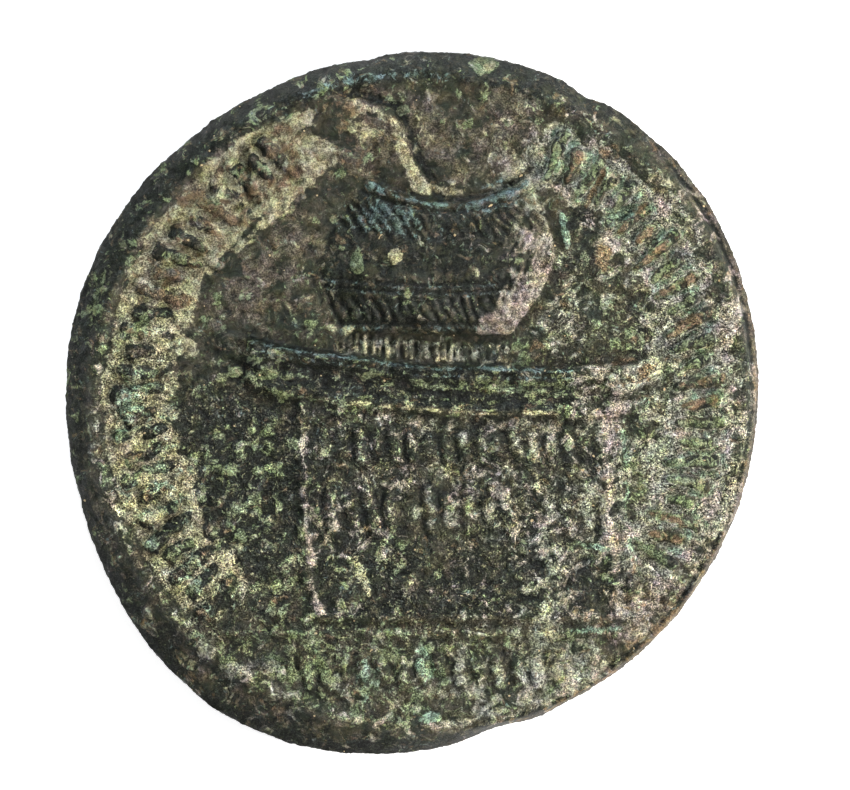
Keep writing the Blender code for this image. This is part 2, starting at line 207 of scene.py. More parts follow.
@dataclass
class Sheet:
    """A square chart of one face: its height and how much of each coat lies at each place."""

    half: float = 15.0
    step: float = 0.05
    least: float = -0.6
    most: float = 1.4
    x: Array = field(init=False)
    y: Array = field(init=False)
    height: Array = field(init=False)
    coats: dict[Layer, Array] = field(init=False)

    def __post_init__(self) -> None:
        """Lays out the empty chart."""
        count = int(round(2 * self.half / self.step)) + 1
        axis = np.linspace(-self.half, self.half, count)
        self.x, self.y = np.meshgrid(axis, axis)
        self.height = np.zeros_like(self.x)
        self.coats = {layer: np.zeros_like(self.x) for layer in Layer}

    def add(self, where: Amount = 1.0, part: Part = WHOLE, **amounts: Amount) -> None:
        """Adds to coats, up to full cover, or takes from them.

        Args:
            where: Share of each amount that is laid at each place.
            part: The part of the chart to change.
            amounts: How much of each coat, under its layer's name.
        """
        for name, amount in amounts.items():
            chart = self.coats[Layer(name)]
            chart[part] = np.clip(chart[part] + amount * where, self.least, self.most)

    def noise(self, size: float, seed: int, octaves: int = 3, keep: float = 0.55) -> Array:
        """Noise of several sizes over the whole chart."""
        return cloud(self.x, self.y, size, seed, octaves, keep)

    def blob(self, x: float, y: float, wide: float, high: float) -> Array:
        """A soft oval, 1 at its middle and faded at about twice its half width and half height."""
        return bell(np.hypot((self.x - x) / wide, (self.y - y) / high), 1.0)

    def polar(self, x: float, y: float) -> tuple[Array, Array]:
        """Distance of each place from a middle, and its direction in radians."""
        return np.hypot(self.x - x, self.y - y), np.arctan2(self.y - y, self.x - x)

    def span(self, middle: float, reach: float) -> slice:
        """Rows or columns of the chart within reach of the middle."""
        first = max(int((middle - reach + self.half) / self.step), 0)
        return slice(first, min(int((middle + reach + self.half) / self.step) + 2, self.x.shape[0]))

    def around(self, x: float, y: float, reach: float) -> Part:
        """The part of the chart that lies within reach of a place."""
        return self.span(y, reach), self.span(x, reach)

    def read(self, chart: Array, x: Array, y: Array) -> Array:
        """Reads a chart between its points.

        Args:
            chart: The chart to read.
            x: Places in X.
            y: Places in Y.

        Returns:
            One number for each place.
        """
        last = chart.shape[0] - 2
        across = np.clip((x + self.half) / self.step, 0.0, last + 0.999)
        up = np.clip((y + self.half) / self.step, 0.0, last + 0.999)
        i = across.astype(int)
        j = up.astype(int)
        fx = across - i
        fy = up - j
        low = chart[j, i] * (1 - fx) + chart[j, i + 1] * fx
        high = chart[j + 1, i] * (1 - fx) + chart[j + 1, i + 1] * fx
        return low * (1 - fy) + high * fy

    def blurred(self, chart: Array, width: float) -> Array:
        """Blurs a chart.

        Args:
            chart: The chart to blur.
            width: Width of the blur.

        Returns:
            The blurred chart.
        """
        cycles = np.fft.fftfreq(chart.shape[0], self.step)
        damp = np.exp(-2 * (math.pi * width * cycles) ** 2)
        spectrum = np.fft.fft2(chart)
        return np.fft.ifft2(spectrum * damp[:, None] * damp[None, :]).real


# The flan


@dataclass(frozen=True)
class Outline:
    """The coin's lobed outline, round its own middle."""

    radius: float = 14.03
    lobes: tuple = ((2, 0.33, 51.5), (3, 0.12, 13.4), (4, 0.13, -28.0), (5, 0.055, 25.0))
    nicks: tuple = ((60.0, 0.18, 3.6), (98.0, 0.09, 5.0), (284.0, 0.24, 4.4), (330.0, 0.05, 4.0))
    middle_x: float = -0.066
    middle_y: float = 0.068
    roughness: float = 0.08

    def reach(self, direction: Array) -> Array:
        """Measures the smooth outline.

        Args:
            direction: Directions from the middle, in radians.

        Returns:
            Distance from the middle to the edge in each direction.
        """
        far = np.full_like(direction, self.radius)
        for lobes, rise, towards in self.lobes:
            far += rise * np.cos(lobes * (direction - math.radians(towards)))
        for towards, depth, width in self.nicks:
            apart = np.remainder(direction - math.radians(towards) + math.pi, math.tau) - math.pi
            far -= depth * np.exp(-((apart / math.radians(width)) ** 2))
        return far

    def chipped(self, direction: Array, level: Array) -> Array:
        """Wears the edge.

        Args:
            direction: Directions from the middle, in radians.
            level: Heights over the floor.

        Returns:
            How far the worn edge stands out from the smooth one.
        """
        x = self.radius * np.cos(direction)
        y = self.radius * np.sin(direction)
        return self.roughness * (cloud(x + level, y - level, 1.4, 905, octaves=5, keep=0.85) - 0.5)


@dataclass(frozen=True)
class Die:
    """Where the design was struck, a little off the flan's middle."""

    x: float = 0.3
    y: float = 0.06
    border: float = 13.0
    border_width: float = 0.24
    border_foot: float = 13.26
    border_rise: float = 0.22
    field: float = 2.18

    def polar(self, sheet: Sheet) -> tuple[Array, Array]:
        """Distance of each place from the die's middle, and its direction in degrees."""
        out, turn = sheet.polar(self.x, self.y)
        return out, np.degrees(turn)


def within(direction: Array, first: float, last: float, soft: float) -> Array:
    """Marks an arc, with all turns in degrees.

    Args:
        direction: The directions to read.
        first: Where the arc starts.
        last: Where it ends.
        soft: How far it fades at both ends.

    Returns:
        1 in the arc and 0 outside it, for each direction.
    """
    middle = (first + last) / 2
    half = (last - first) / 2
    apart = np.abs(np.remainder(direction - middle + 180.0, 360.0) - 180.0)
    return smooth(half + soft, half - soft, apart)


@dataclass
class FlanFace:
    """The bevelled edge, the border and the uneven field of the face."""

    outline: Outline
    die: Die
    edge_high: float = 1.42

    def shape(self, sheet: Sheet) -> None:
        """Lays the ground that the carving stands on.

        Args:
            sheet: The chart.
        """
        far, direction = sheet.polar(self.outline.middle_x, self.outline.middle_y)
        over = far - self.outline.reach(direction)
        foot = self.die.border_foot + (self.die.x - self.outline.middle_x) * np.cos(direction)
        foot = foot + (self.die.y - self.outline.middle_y) * np.sin(direction)
        gap = np.maximum(far - over - foot, 0.2)
        share = np.clip(-over / gap, 0.0, 1.0)
        rise = share + 0.35 * share * (1 - share)
        sheet.height += self.edge_high + (self.die.field - self.edge_high) * rise
        out, turn = self.die.polar(sheet)
        worn = 0.5 + 0.5 * within(turn, 165.0, 292.0, 14.0) - 0.35 * within(turn, -60.0, 60.0, 20.0)
        worn = worn + 0.7 * sheet.noise(1.6, 71, 4)
        crest = bell(out - self.die.border, self.die.border_width)
        sheet.height += self.die.border_rise * np.clip(worn, 0.0, 1.1) * crest
        wander = 0.05 * sheet.noise(2.0, 72, 4)
        groove = within(turn, -64.0, 40.0, 10.0) * bell(over + 0.34 + wander, 0.12)
        sheet.height -= 0.2 * groove
        sheet.add(soot=0.9 * groove)
        inside = smooth(13.2, 12.6, out)
        sheet.height += inside * 0.07 * sheet.noise(3.4, 12)
        sheet.height += 0.04 * sheet.noise(1.1, 5, 4, 0.75)
        self.dress(sheet, out, turn, over)

    def dress(self, sheet: Sheet, out: Array, turn: Array, over: Array) -> None:
        """Lays the coats of the bevel, the border and the bare fields.

        Args:
            sheet: The chart.
            out: Distance from the die's middle.
            turn: Direction from it, in degrees.
            over: Distance beyond the coin's edge, below 0 inside it.
        """
        drift = sheet.noise(3.0, 73)
        patch = sheet.noise(1.1, 74)
        bevel = smooth(13.0, 13.45, out)
        self.dress_bevel(sheet, bevel, out, turn, over, patch)
        ground = 1 - bevel
        right = within(turn, -72.0, 50.0, 18.0)
        ridge = bell(out - 12.95, 0.3) * within(turn, 172.0, 285.0, 12.0)
        sheet.add(ridge, ash=0.2 + 0.4 * patch, blush=0.24 - 0.3 * patch)
        upper = within(turn, 60.0, 168.0, 20.0) * smooth(6.0, 9.0, out) * ground
        sheet.add(upper, warm=0.3 + 0.6 * drift, sand=0.5 * drift - 0.1)
        sheet.add(smooth(7.6, 9.4, sheet.y) * ground, warm=0.15 + 0.3 * drift)
        sheet.add(right * smooth(7.0, 10.5, out) * ground, ash=0.36 + 0.5 * drift)
        # pinkish patina and painted warm light on the border that faces the warm lamp
        sheet.add(right * smooth(11.6, 12.6, out), blush=0.14 + 0.4 * drift)
        sheet.add(right * smooth(12.4, 12.9, out), warm=0.3 + 0.5 * patch)
        # pinkish patina and painted warm light on the lower right border
        lower = within(turn, 290.0, 330.0, 10.0) * bell(out - 12.6, 0.6)
        sheet.add(lower, blush=0.25 + 0.4 * drift)
        sway = 0.2 * drift
        crusty = sheet.blob(9.6, 3.0, 1.54, 1.96)
        sheet.add(crusty, ash=sway - 0.15, blush=sway - 0.2, soot=sway + 0.5, crumb=sway + 0.2)
        sheet.add(sheet.blob(8.0, 6.6, 2.0, 2.0), ash=-0.1)
        sheet.add(sheet.blob(4.6, 9.3, 2.8, 1.4), ash=0.42 + 0.3 * drift)
        sheet.add(sheet.blob(6.4, 3.6, 1.6, 1.8), ash=0.5 + 0.3 * patch)
        sheet.add(sheet.blob(9.6, -3.6, 1.21, 4.4), ash=0.35 + 0.5 * patch, crumb=0.4 - 0.4 * patch)
        sheet.add(sheet.blob(-7.0, -3.0, 2.8, 4.76), soot=1.1)
        sheet.add(sheet.blob(-6.0, 4.6, 2.4, 3.2), warm=0.35 + 0.3 * drift)
        sway = 0.3 * patch
        rosy = sheet.blob(9.2, -9.0, 2.4, 1.76)
        sheet.add(rosy, blush=sway + 0.4, rust=sway + 0.3, warm=sway + 0.4, ash=sway - 0.3, crumb=-0.4)
        pale = 0.15 + 0.3 * smooth(-5.0, 2.0, sheet.x) + 0.5 * patch
        sheet.add(bell(sheet.y + 10.9, 1.6) * ground, ash=pale, crumb=0.2 - 0.4 * patch)
        sheet.add(sheet.blob(9.0, -2.6, 1.8, 1.8), ash=-0.16)
        sheet.add(self.gritty(sheet, bevel, out, turn), grit=0.9 + 0.4 * drift)

    def gritty(self, sheet: Sheet, bevel: Array, out: Array, turn: Array) -> Array:
        """Finds where the patina is speckled and where the grain's painted micro-shade is strongest.

        Args:
            sheet: The chart.
            bevel: Share of bevel at each place.
            out: Distance from the die's middle.
            turn: Direction from it, in degrees.

        Returns:
            Strength of the specks and of the painted micro-shade at each place.
        """
        left = within(turn, 92.0, 268.0, 16.0) * smooth(9.4, 10.2, out)
        strength = 0.9 * smooth(9.2, 10.4, out) * within(turn, -110.0, 68.0, 20.0)
        strength = np.maximum(strength, smooth(2.5, -1.0, sheet.y))
        strength = np.maximum(strength, 0.1 + 0.9 * left * smooth(9.0, -1.0, sheet.y))
        strength = np.maximum(strength, 1.1 * smooth(3.8, 6.4, sheet.x) * smooth(9.5, 5.0, sheet.y))
        strength = (strength - 0.12 * sheet.blob(1.2, 6.2, 3.6, 3.6)) * (1 - 0.85 * bevel)
        strength = strength * (1 - 0.5 * bell(sheet.y + 12.0, 2.0))
        strength = strength - 0.5 * sheet.blob(9.5, -9.6, 2.6, 1.4) - 0.3 * sheet.blob(8.0, -8.6, 3.0, 1.8)
        return strength + 0.28 * sheet.blob(6.1, 2.2, 1.6, 3.0)

    def dress_bevel(
        self, sheet: Sheet, bevel: Array, out: Array, turn: Array, over: Array, patch: Array
    ) -> None:
        """Lays the coats of the bevel.

        Args:
            sheet: The chart.
            bevel: Share of bevel at each place.
            out: Distance from the die's middle.
            turn: Direction from it, in degrees.
            over: Distance beyond the coin's edge, below 0 inside it.
            patch: Noise that breaks the coats up.
        """
        left = within(turn, 92.0, 268.0, 16.0)
        width = 0.5 + 0.75 * within(turn, 60.0, 172.0, 16.0) - 0.25 * within(turn, -60.0, 40.0, 16.0)
        edge = smooth(-width - 0.15, -width + 0.15, over + 0.2 * patch)
        # near-black patina round the outer edge; the extra on the left is painted shade where the bevel
        # faces away from the key light
        sheet.add(soot=edge * (0.6 * within(turn, 40.0, 320.0, 20.0) + 0.6 * left))
        sheet.add(crumb=edge * (0.1 + 0.6 * patch) * within(turn, 90.0, 230.0, 20.0))
        sheet.add(warm=(bevel - 0.5 * edge) * 0.5 * within(turn, 190.0, 312.0, 20.0))
        # painted shade on the left of the bevel, which faces away from the key light
        sheet.add(soot=(bevel - edge) * (0.5 + 0.5 * patch) * left)
        sheet.add(ash=(bevel - edge) * (0.6 * patch) * within(turn, 170.0, 285.0, 10.0))
        # painted bluish highlight along the top of the border
        sheet.add(steel=0.5 * bell(out - 13.1, 0.16) * within(turn, 84.0, 112.0, 6.0))
        rim = smooth(-0.34, -0.2, over) * within(turn, -70.0, 50.0, 12.0)
        sheet.add(rim, warm=0.9, rust=0.3)


# Carving


@dataclass(frozen=True)
class Bar:
    """One straight raised or sunk bar with soft edges."""

    x: float
    y: float
    direction: float
    length: float
    width: float
    rise: float
    soft: float
    flare: float = 0.0
    worn: float = 0.0

    def cover(self, sheet: Sheet, spread: float = 0.0) -> tuple[Part, Array]:
        """Where the bar lies on the chart and its share of full height there.

        Args:
            sheet: The chart.
            spread: Makes the bar this much larger all round.

        Returns:
            The part of the chart round the bar, and a share from 0 to 1 at each place in it.
        """
        reach = self.length / 2 + self.width + self.soft + spread + 0.1
        part = sheet.around(self.x, self.y, reach)
        dx = sheet.x[part] - self.x
        dy = sheet.y[part] - self.y
        cos = math.cos(self.direction)
        sin = math.sin(self.direction)
        run = dx * cos + dy * sin
        along = np.maximum(np.abs(run) - self.length / 2 + self.width / 2, 0.0)
        flare = 1 + self.flare * np.clip(run / self.length * 2, -1.0, 1.0)
        across = np.abs(dy * cos - dx * sin) / flare
        worn = self.worn * cloud(sheet.x[part], sheet.y[part], 0.5, 7, 2)
        out = np.hypot(along, across) - self.width / 2 - spread + worn
        return part, smooth(self.soft / 2, -self.soft / 2, out)

    def raise_on(self, sheet: Sheet) -> None:
        """Raises the bar out of the chart, or sinks it."""
        part, share = self.cover(sheet)
        sheet.height[part] += self.rise * share

    def coat(self, sheet: Sheet, spread: float = 0.0, **amounts: float) -> None:
        """Adds coats over the bar, and as far round it as spread says."""
        part, share = self.cover(sheet, spread)
        sheet.add(share, part, **amounts)


def rhythm(index: int) -> tuple[float, float]:
    """Length as a share and lean in degrees of the strokes in a row, which repeat."""
    beat = ((1.0, 7.0), (0.72, 13.0), (0.93, 4.0), (0.6, 9.0), (1.0, 14.0), (0.82, 5.0), (0.5, 10.0))
    return beat[index % len(beat)]


@dataclass
class StrokeArcs:
    """The two arcs of strokes up the sides of the face."""

    die: Die
    radius: float = 11.24
    length: float = 2.2
    width: float = 0.44
    rise: float = 0.23
    arcs: tuple = ((226.0, 118.0, 26), (63.0, -35.0, 24))

    def bars(self) -> Iterable[tuple[int, Bar]]:
        """Each stroke with the number of its arc.

        Yields:
            The arc's number and the stroke.
        """
        for arc, (first, last, count) in enumerate(self.arcs):
            for i in range(count):
                share, lean = rhythm(i)
                turn = math.radians(first + (last - first) * (i + 0.5) / count)
                x = self.die.x + self.radius * math.cos(turn)
                y = self.die.y + self.radius * math.sin(turn)
                lie = turn + math.radians(lean)
                rise = self.rise * (0.7 + 0.3 * math.sin(5.3 * i + arc))
                yield arc, Bar(x, y, lie, self.length * share, self.width, rise, 0.2, 0.35, 0.12)

    def shape(self, sheet: Sheet) -> None:
        """Raises the strokes and lays the sand and crust between them.

        Args:
            sheet: The chart.
        """
        out, turn = self.die.polar(sheet)
        inner = out + 1.1 * sheet.noise(1.7, 91)
        band = smooth(9.2, 10.4, inner) * smooth(12.9, 12.3, out)
        left = within(turn, 112.0, 226.0, 7.0) * band
        right = within(turn, -40.0, 66.0, 6.0) * band
        drift = sheet.noise(1.5, 90)
        sheet.add(left, sand=1.06 + 0.5 * drift, warm=0.45 - 0.5 * drift)
        sheet.add(left, sand=0.5 * sheet.noise(0.8, 93))
        ochre = smooth(2.0, 7.0, sheet.y) * within(turn, 106.0, 170.0, 8.0) * smooth(8.8, 10.2, out)
        inner = ochre * smooth(12.9, 12.3, out)
        sheet.add(inner, rust=0.32 - 0.5 * drift, sand=0.38 - 0.3 * drift)
        sheet.add(left * smooth(4.0, 1.0, sheet.y), verdigris=0.2 - 0.7 * drift)
        sheet.add(right, blush=0.42 + 0.4 * drift, ash=0.3 - 0.4 * drift)
        sheet.add(ochre, grit=-0.22)
        line = bell(out - 9.95, 0.22) * within(turn, 120.0, 146.0, 5.0)
        sheet.add(sand=0.6 * line)
        sheet.height += 0.05 * line
        tones = np.random.default_rng(4).uniform(0.0, 1.0, 80)
        for number, (arc, bar) in enumerate(self.bars()):
            tone = float(tones[number])
            part, halo = bar.cover(sheet, 0.2)
            sheet.height[part] -= 0.03 * halo
            bar.raise_on(sheet)
            sheet.height[part] += 0.07 * halo * cloud(sheet.x[part], sheet.y[part], 0.45, 300 + number, 2)
            if arc == 0:
                self.dress_left(sheet, bar, tone)
            else:
                self.dress_right(sheet, bar, tone)

    def dress_left(self, sheet: Sheet, bar: Bar, tone: float) -> None:
        """Dark strokes, some brown, with a thin black rim.

        Args:
            sheet: The chart.
            bar: The stroke.
            tone: Its tone, from 0 to 1.
        """
        bar.coat(sheet, 0.06, sand=-1.15)
        bar.coat(sheet, 0.08, soot=0.8)
        bar.coat(sheet, -0.06, soot=-0.5 * tone, warm=0.8 * tone, crumb=0.45 * (1 - tone))
        bar.coat(sheet, -0.08, rust=0.35 if tone > 0.8 else 0.0)

    def dress_right(self, sheet: Sheet, bar: Bar, tone: float) -> None:
        """Grey-green strokes with a pale rim.

        Args:
            sheet: The chart.
            bar: The stroke.
            tone: Its tone, from 0 to 1.
        """
        bar.coat(sheet, 0.2, ash=1.0, verdigris=0.42)
        bar.coat(sheet, 0.14, blush=-0.7)
        bar.coat(sheet, 0.04, grit=-0.6)
        bar.coat(sheet, 0.0, ash=-1.9, verdigris=-0.42)
        bar.coat(sheet, -0.02, soot=0.8)
        bar.coat(sheet, -0.04, crumb=0.45)
        bar.coat(sheet, -0.06, rust=0.65 if tone > 0.55 else 0.0)


@dataclass
class StrokeRows:
    """The rows of strokes on the panel and under the ground line."""

    rows: tuple = (
        (-3.8, 7.3, -1.72, 1.65, 16, 0.16),
        (-3.6, 7.4, -4.35, 2.1, 14, 0.16),
        (-4.6, 6.2, -10.75, 1.5, 14, 0.17),
    )
    width: float = 0.44

    def shape(self, sheet: Sheet) -> None:
        """Raises each row and dresses it.

        Args:
            sheet: The chart.
        """
        tones = np.random.default_rng(9).uniform(0.0, 1.0, 80)
        number = 0
        for row, (first, last, y, length, count, rise) in enumerate(self.rows):
            for i in range(count):
                share, lean = rhythm(i + 2 * row)
                x = first + (last - first) * (i + 0.5) / count
                worn = rise * (0.75 + 0.25 * math.sin(4.1 * i + row))
                bar = Bar(x, y, math.radians(90 + lean), length * share, self.width, worn, 0.18, 0.0, 0.06)
                part, halo = bar.cover(sheet, 0.16)
                sheet.height[part] -= 0.03 * halo
                bar.raise_on(sheet)
                tone = float(tones[number])
                number += 1
                bar.coat(sheet, 0.16, soot=0.2, ash=-0.2, crumb=-0.2)
                bar.coat(sheet, -0.06, soot=-0.25)
                green = 0.25 * tone if row == 2 else 0.0
                rosy = 0.14 * tone if row == 1 else 0.05
                pale = 0.34 - 0.2 * tone - 0.04 * row
                crumb = 0.4 + 0.15 * tone - 0.06 * row
                bar.coat(sheet, -0.08, crumb=crumb, ash=pale, blush=rosy, verdigris=green)


@dataclass
class Altar:
    """The altar: its sagging slab, the panel under it, its foot and the ground line."""

    die: Die
    slab_left: float = -6.6
    slab_right: float = 8.9
    lowest_x: float = 4.6
    lowest_y: float = 0.42
    sag: float = 1.15
    half_height: float = 0.95
    profile: tuple = (
        (-1.14, 0.0),
        (-1.0, 0.24),
        (-0.82, 0.4),
        (-0.62, 0.36),
        (-0.45, 0.2),
        (0.0, 0.2),
        (0.3, 0.24),
        (0.5, 0.44),
        (0.66, 0.38),
        (0.86, 0.54),
        (1.0, 0.36),
        (1.14, 0.0),
    )
    panel_left: float = -4.5
    panel_right: float = 8.35
    panel_foot: float = -8.6
    panel_spread: float = 0.7
    panel_rise: float = 0.1

    def middle_y(self, x: Array) -> Array:
        """The slab's middle line."""
        share = (x - self.lowest_x) / (self.slab_left - self.lowest_x)
        return self.lowest_y + self.sag * share * share

    def shape(self, sheet: Sheet) -> None:
        """Raises the altar and dresses it.

        Args:
            sheet: The chart.
        """
        self.shape_panel(sheet)
        self.shape_slab(sheet)
        self.shape_foot(sheet)

    def shape_slab(self, sheet: Sheet) -> None:
        """The moulded slab with its upturned ends.

        Args:
            sheet: The chart.
        """
        wander = 0.09 * sheet.noise(2.6, 41, 2)
        across = (sheet.y - self.middle_y(sheet.x) + wander) / self.half_height
        steps = [step for step, _ in self.profile]
        rises = [rise for _, rise in self.profile]
        rise = np.interp(across, steps, rises)
        ends = smooth(self.slab_left - 0.25, self.slab_left + 0.25, sheet.x)
        ends = ends * smooth(self.slab_right + 0.25, self.slab_right - 0.25, sheet.x)
        sheet.height += rise * ends * (1 + 0.25 * sheet.noise(0.8, 43))
        on = ends * smooth(1.2, 1.05, np.abs(across))
        dark = on * smooth(7.0, 6.0, sheet.x)
        sheet.add(soot=0.85 * dark * smooth(-0.8, -0.7, across))
        # painted bluish highlights along the slab's top mouldings
        sheet.add(steel=0.75 * dark * bell(across - 0.93, 0.08))
        sheet.add(steel=0.5 * dark * bell(across - 0.6, 0.06))
        sheet.add(sand=0.55 * dark * bell(across + 0.9, 0.12) * smooth(-6.0, -1.0, sheet.x))
        sheet.add(crumb=0.45 * dark * bell(across - 0.25, 0.3) * smooth(-1.0, 1.0, sheet.x))
        sheet.add(on * smooth(6.0, 6.6, sheet.x), blush=0.45, ash=0.3)
        sheet.add(soot=0.6 * dark * bell(across - 0.72, 0.07))
        streak = cloud(sheet.x * 0.22, sheet.y - self.middle_y(sheet.x), 0.26, 44, octaves=3)
        sheet.height += 0.07 * streak * on
        sheet.add(crumb=0.55 * on * smooth(0.1, 0.5, streak) * smooth(0.8, 0.6, across))
        sheet.add(soot=0.5 * on * smooth(-0.1, -0.5, streak))
        for x, lean in ((self.slab_left, 156.0), (self.slab_right, 24.0)):
            y = float(self.middle_y(np.array(x))) + self.half_height / 2
            horn = Bar(x, y, math.radians(lean), 2.3, 0.95, 0.28 if x > 0 else 0.16, 0.3)
            horn.raise_on(sheet)
            if x > 0:
                horn.coat(sheet, 0.02, ash=0.4)
                horn.coat(sheet, -0.2, rust=0.45)
            else:
                horn.coat(sheet, 0.02, ash=0.2)
                horn.coat(sheet, -0.2, warm=0.45)

    def edge_x(self, side: int, y: Array) -> Array:
        """The panel's left edge for side 0, and its right edge for side 1.

        Args:
            side: 0 for the left edge, 1 for the right one.
            y: Places in Y.

        Returns:
            The edge's place in X at each height.
        """
        down = np.clip(y / self.panel_foot, 0.0, 1.0)
        start = self.panel_right if side else self.panel_left
        return start + self.panel_spread * down * down

    def shape_panel(self, sheet: Sheet) -> None:
        """The panel and the ridges along its two sides.

        Args:
            sheet: The chart.
        """
        under = smooth(0.1, -0.3, sheet.y - self.middle_y(sheet.x) + self.half_height)
        above = smooth(self.panel_foot - 0.15, self.panel_foot + 0.15, sheet.y)
        tall = under * above
        left = sheet.x - self.edge_x(0, sheet.y)
        right = sheet.x - self.edge_x(1, sheet.y)
        inside = smooth(-0.1, 0.1, left) * smooth(0.1, -0.1, right)
        sheet.height += self.panel_rise * inside * tall
        wobble = 0.16 * sheet.noise(1.3, 51)
        broken = 0.62 + 0.75 * sheet.noise(1.4, 53)
        for gap, rise, pale in ((left, 0.2, 0.8), (right, 0.18, 0.2), (right + 0.66, 0.14, 0.7)):
            ridge = bell(gap + wobble, 0.24) * tall
            sheet.height += rise * ridge
            crest = bell(gap + wobble - 0.04, 0.15) * tall * np.clip(broken, 0.0, 1.2)
            sheet.add(crest, blush=pale, sand=0.3)
            # painted shade on the left side of each ridge, away from the key light
            sheet.add(soot=0.2 * bell(gap + wobble + 0.34, 0.16) * tall)
        sheet.add(verdigris=0.5 * bell(right - 0.1 + wobble, 0.12) * tall)
        sheet.height += 0.1 * bell(left + 0.5, 0.5) * tall
        drift = sheet.noise(2.0, 52)
        sheet.add(soot=(0.35 + 0.35 * drift) * inside * tall)
        rows = inside * tall * smooth(-6.0, -4.0, sheet.y) * smooth(-6.0, 3.0, sheet.x)
        calm = 1 - 0.4 * sheet.blob(3.2, -3.0, 2.4, 2.4)
        sheet.add(ash=(0.44 - 0.25 * drift) * rows * calm)
        sheet.add(blush=(0.17 + 0.3 * drift) * inside * tall)
        sheet.add(soot=0.3 * inside * tall * smooth(-5.0, -6.5, sheet.y))
        sheet.add(ash=(0.34 + 0.2 * drift) * sheet.blob(4.6, -5.6, 3.4, 1.6))

    def shape_foot(self, sheet: Sheet) -> None:
        """The altar's foot and the ground line.

        Args:
            sheet: The chart.
        """
        left = self.panel_left + self.panel_spread
        right = self.panel_right + self.panel_spread
        foot = Bar((left + right) / 2, self.panel_foot, 0.0, right - left, 0.34, 0.12, 0.24)
        ground = Bar(self.die.x, self.panel_foot - 0.6, 0.0, 16.2, 0.28, 0.14, 0.22, 0.0, 0.16)
        for bar in (foot, ground):
            bar.raise_on(sheet)
        ground.coat(sheet, crumb=0.12)


